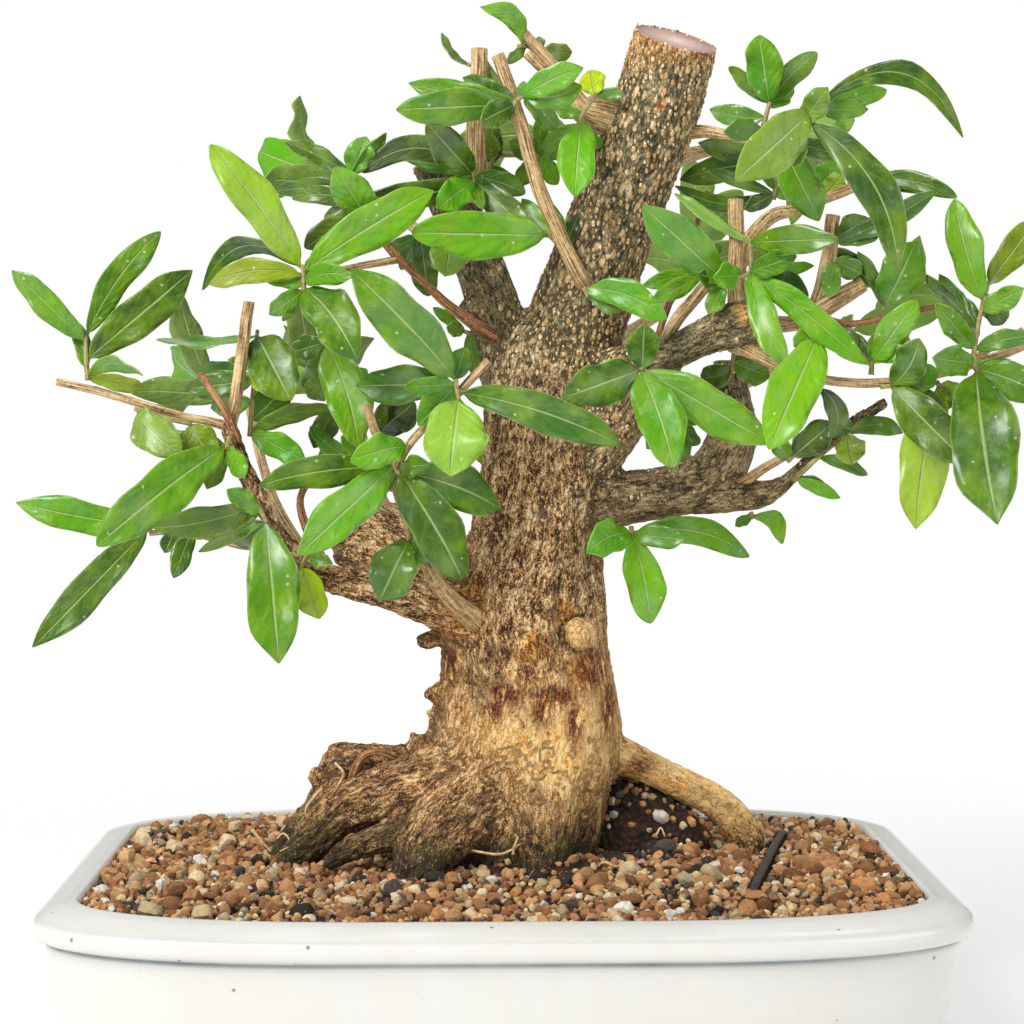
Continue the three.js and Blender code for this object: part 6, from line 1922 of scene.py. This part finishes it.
def strewn(name, places, luck):
    corners, faces, shade, start = [], [], [], 0
    for x, y, z, radius in places:
        kinds = CRUMBS if radius < CRUMB_RADIUS else PEBBLES
        shape, sides = kinds[luck.integers(len(kinds))]
        turn = Matrix.Rotation(luck.random() * 6.28, 3, Vector(luck.normal(size=3)))
        faces += [tuple(start + corner for corner in side) for side in sides]
        corners.append(shape * radius * (1 + 0.35 * luck.random()) @ np.array(turn) + (x, y, z))
        shade.append(np.full(len(shape), luck.random()))
        start += len(shape)
    mesh = bpy.data.meshes.new(name)
    mesh.from_pydata((np.vstack(corners) * MM).tolist(), [], faces)
    piece = bpy.data.objects.new(name, mesh)
    bpy.context.collection.objects.link(piece)
    keep(piece, "shade", np.concatenate(shade))
    activate(piece)
    bpy.ops.object.shade_smooth_by_angle(angle=math.radians(52))
    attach(piece, "root")
    return piece


print("crumbs to strew:", sum(granule[3] < CRUMB_RADIUS for granule in granules))

# %% [markdown]
# Baked clay is matt and porous; pumice is pale and pitted; gravel is harder and a bit smoother.
# One recipe covers them all with different colours: a ramp picks the stone's own tone from its
# random number, cloudy patches and specks break it up, and a fine bump makes it crumbly. The
# table gives the share of all stones at which each kind ends.

# %% Stone finishes
def stone_material(name, colours, patch="#4a3222", share=0.4):
    material, tree, surface = new_material(name)
    place = place_of(tree)
    shade = attribute(tree, "shade").outputs["Fac"]
    stops = [(k / (len(colours) - 1), paint(c)) for k, c in enumerate(colours)]
    clouds = effect(tree, "patches", place, Scale=420.0, Low=0.45, High=0.68)
    specks = effect(tree, "specks", place, Scale=900.0, Share=0.18)
    colour = tinted(tree, clouds, share, ramp(tree, shade, stops), patch)
    colour = tinted(tree, specks, 0.4, colour, "#d9b48a")
    grit = bumped(tree, noise_of(tree, place, 1500.0, 4.0), 0.7, 0.0008)
    wire(tree, surface, Base_Color=colour, Roughness=0.9, Normal=grit)
    return material


KINDS = [
    ("clay_granules", 0.60, ["#6e4225", "#b07a4c", "#d0a06c", "#8c5c3a", "#bb8856"]),
    ("tan_granules", 0.80, ["#b48b58", "#dcb980", "#f4ddb2", "#c9b086", "#b0a07a"]),
    ("orange_granules", 0.88, ["#c98a50", "#dca66e", "#e6c093"]),
    ("pumice_granules", 0.92, ["#d9d1bd", "#f2ecdd", "#c3bca8"]),
    ("dark_granules", 1.01, ["#26201c", "#443d37", "#65615a"]),
]
kind_luck = soil_luck.random(len(granules))
low = 0.0
for name, high, colours in KINDS:
    places = [g for g, share in zip(granules, kind_luck) if low <= share < high]
    piece = strewn(name, places, soil_luck)
    finish(piece, stone_material(name, colours))
    print(name, len(places))
    low = high

# %% [markdown]
# A few chunks of blackened bark lie among the stones near the trunk, larger and flatter than they
# are. Each is listed by its place and half its length, and dropped onto the ground.

# %% Chunks of old bark
CHUNKS = [(55, -7, 6.5), (47, -10, 4.5), (60, -30, 5.5), (66, -33, 4), (22, -46, 5), (30, -44, 3.5),
          (73, -14, 4.5), (39, -20, 4), (-20, -47, 3.5), (12, -44, 3.5)]
chunks = strewn("bark_chunks", [(x, y, ground(x, y) - 0.1 * r, r) for x, y, r in CHUNKS], soil_luck)
finish(chunks, stone_material("old_bark", ["#211a17", "#332923", "#1b1718"], "#4b3526", 0.6))
print("chunks:", len(CHUNKS))

# %% [markdown]
# Between the stones the bed itself shows through: dark, damp crumbs. The soil's CAD solid carries
# that finish, and so do the heaps.

# %% The bed
def bed_material():
    material, tree, surface = new_material("soil_bed")
    place = place_of(tree)
    crumbs = put(tree, "TexVoronoi", {"Vector": place, "Scale": 420.0}).outputs["Distance"]
    clouds = effect(tree, "patches", place, Scale=120.0, Low=0.4, High=0.65)
    stops = [(0.0, paint("#4a2f1f")), (0.4, paint("#2b1b13")), (0.8, paint("#120c09"))]
    colour = tinted(tree, clouds, 0.4, ramp(tree, crumbs, stops), "#5a3a26")
    wire(tree, surface, Base_Color=colour, Roughness=0.95,
         Normal=bumped(tree, crumbs, 1.0, 0.002, invert=True))
    return material


EARTH = bed_material()
refinish(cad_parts["soil"], EARTH)
finish(HEAP, EARTH)
print("bed finish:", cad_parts["soil"].data.materials[0].name)

# %% [markdown]
# The tree stands on a plain white table. Far from the tree the table fades into white, so that no
# horizon line crosses the picture: its own colour gives way to a glow.

# %% Table
deselect()
bpy.ops.mesh.primitive_circle_add(vertices=96, radius=4, fill_type="NGON", location=(0, 0, -0.0002))
floor = bpy.context.object
floor.name = "table_top"
material, tree, surface = new_material("white_table")
place = place_of(tree)
away = put(tree, "VectorMath", {0: place}, operation="LENGTH").outputs["Value"]
far = ranged(tree, away, 0.2, 0.9, 0.25, 1.0, "SMOOTHSTEP")
near = tinted(tree, noise_of(tree, place, 3.0, 2.0), 0.2, paint("#fbfbfb"), "#f4f4f4")
black, white = paint("#000000"), paint("#ffffff")
wire(tree, surface, Roughness=0.7, Base_Color=blend(tree, far, near, black),
     Emission_Color=blend(tree, far, black, white), Emission_Strength=1.0)
finish(floor, material)
floor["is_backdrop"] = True
print("table:", floor.name)

# %% [markdown]
# The light is soft. One large area light at the upper left gives direction to the shadows, a
# weaker one from the right fills them, and one from above rounds the crown. A near-white world
# lightens everything, and the camera sees it as pure white. A sun would give hard shadows that
# hide the bark's relief.

# %% Light
AIM = Vector((0, 0, 0.18))


def area_light(name, location, size, power):
    turn = (AIM - Vector(location)).to_track_quat("-Z", "Y").to_euler()
    bpy.ops.object.light_add(type="AREA", location=location, rotation=turn)
    lamp = bpy.context.object
    lamp.name = name
    lamp.data.size = size
    lamp.data.energy = power


area_light("key", (-0.8, -0.9, 1.1), 0.7, 20)
area_light("fill", (1.1, -0.7, 0.7), 0.9, 4)
area_light("top", (0.1, 0.5, 1.4), 0.9, 6)
world = bpy.data.worlds.new("white_room")
bpy.context.scene.world = world
world.use_nodes = True
room = world.node_tree
sky = room.nodes["Background"]
sky.inputs["Color"].default_value = (1, 1, 1, 1)
straight = put(room, "LightPath").outputs["Is Camera Ray"]
feed(room, sky.inputs["Strength"], scaled(room, straight, 0.6, 0.4))
bpy.context.scene.view_settings.view_transform = "Standard"

# %% [markdown]
# Last, the visual model's box is set beside the CAD model's. The looks may stand a little proud of
# the solids, but never change the tree's size.

# %% Sizes and finish
boxes = {"cad": cad_box, "visual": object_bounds()}
{name: [list(corner) for corner in box] for name, box in boxes.items()}
for name, (low_corner, high_corner) in boxes.items():
    print(name, [round(v, 4) for v in low_corner], [round(v, 4) for v in high_corner])
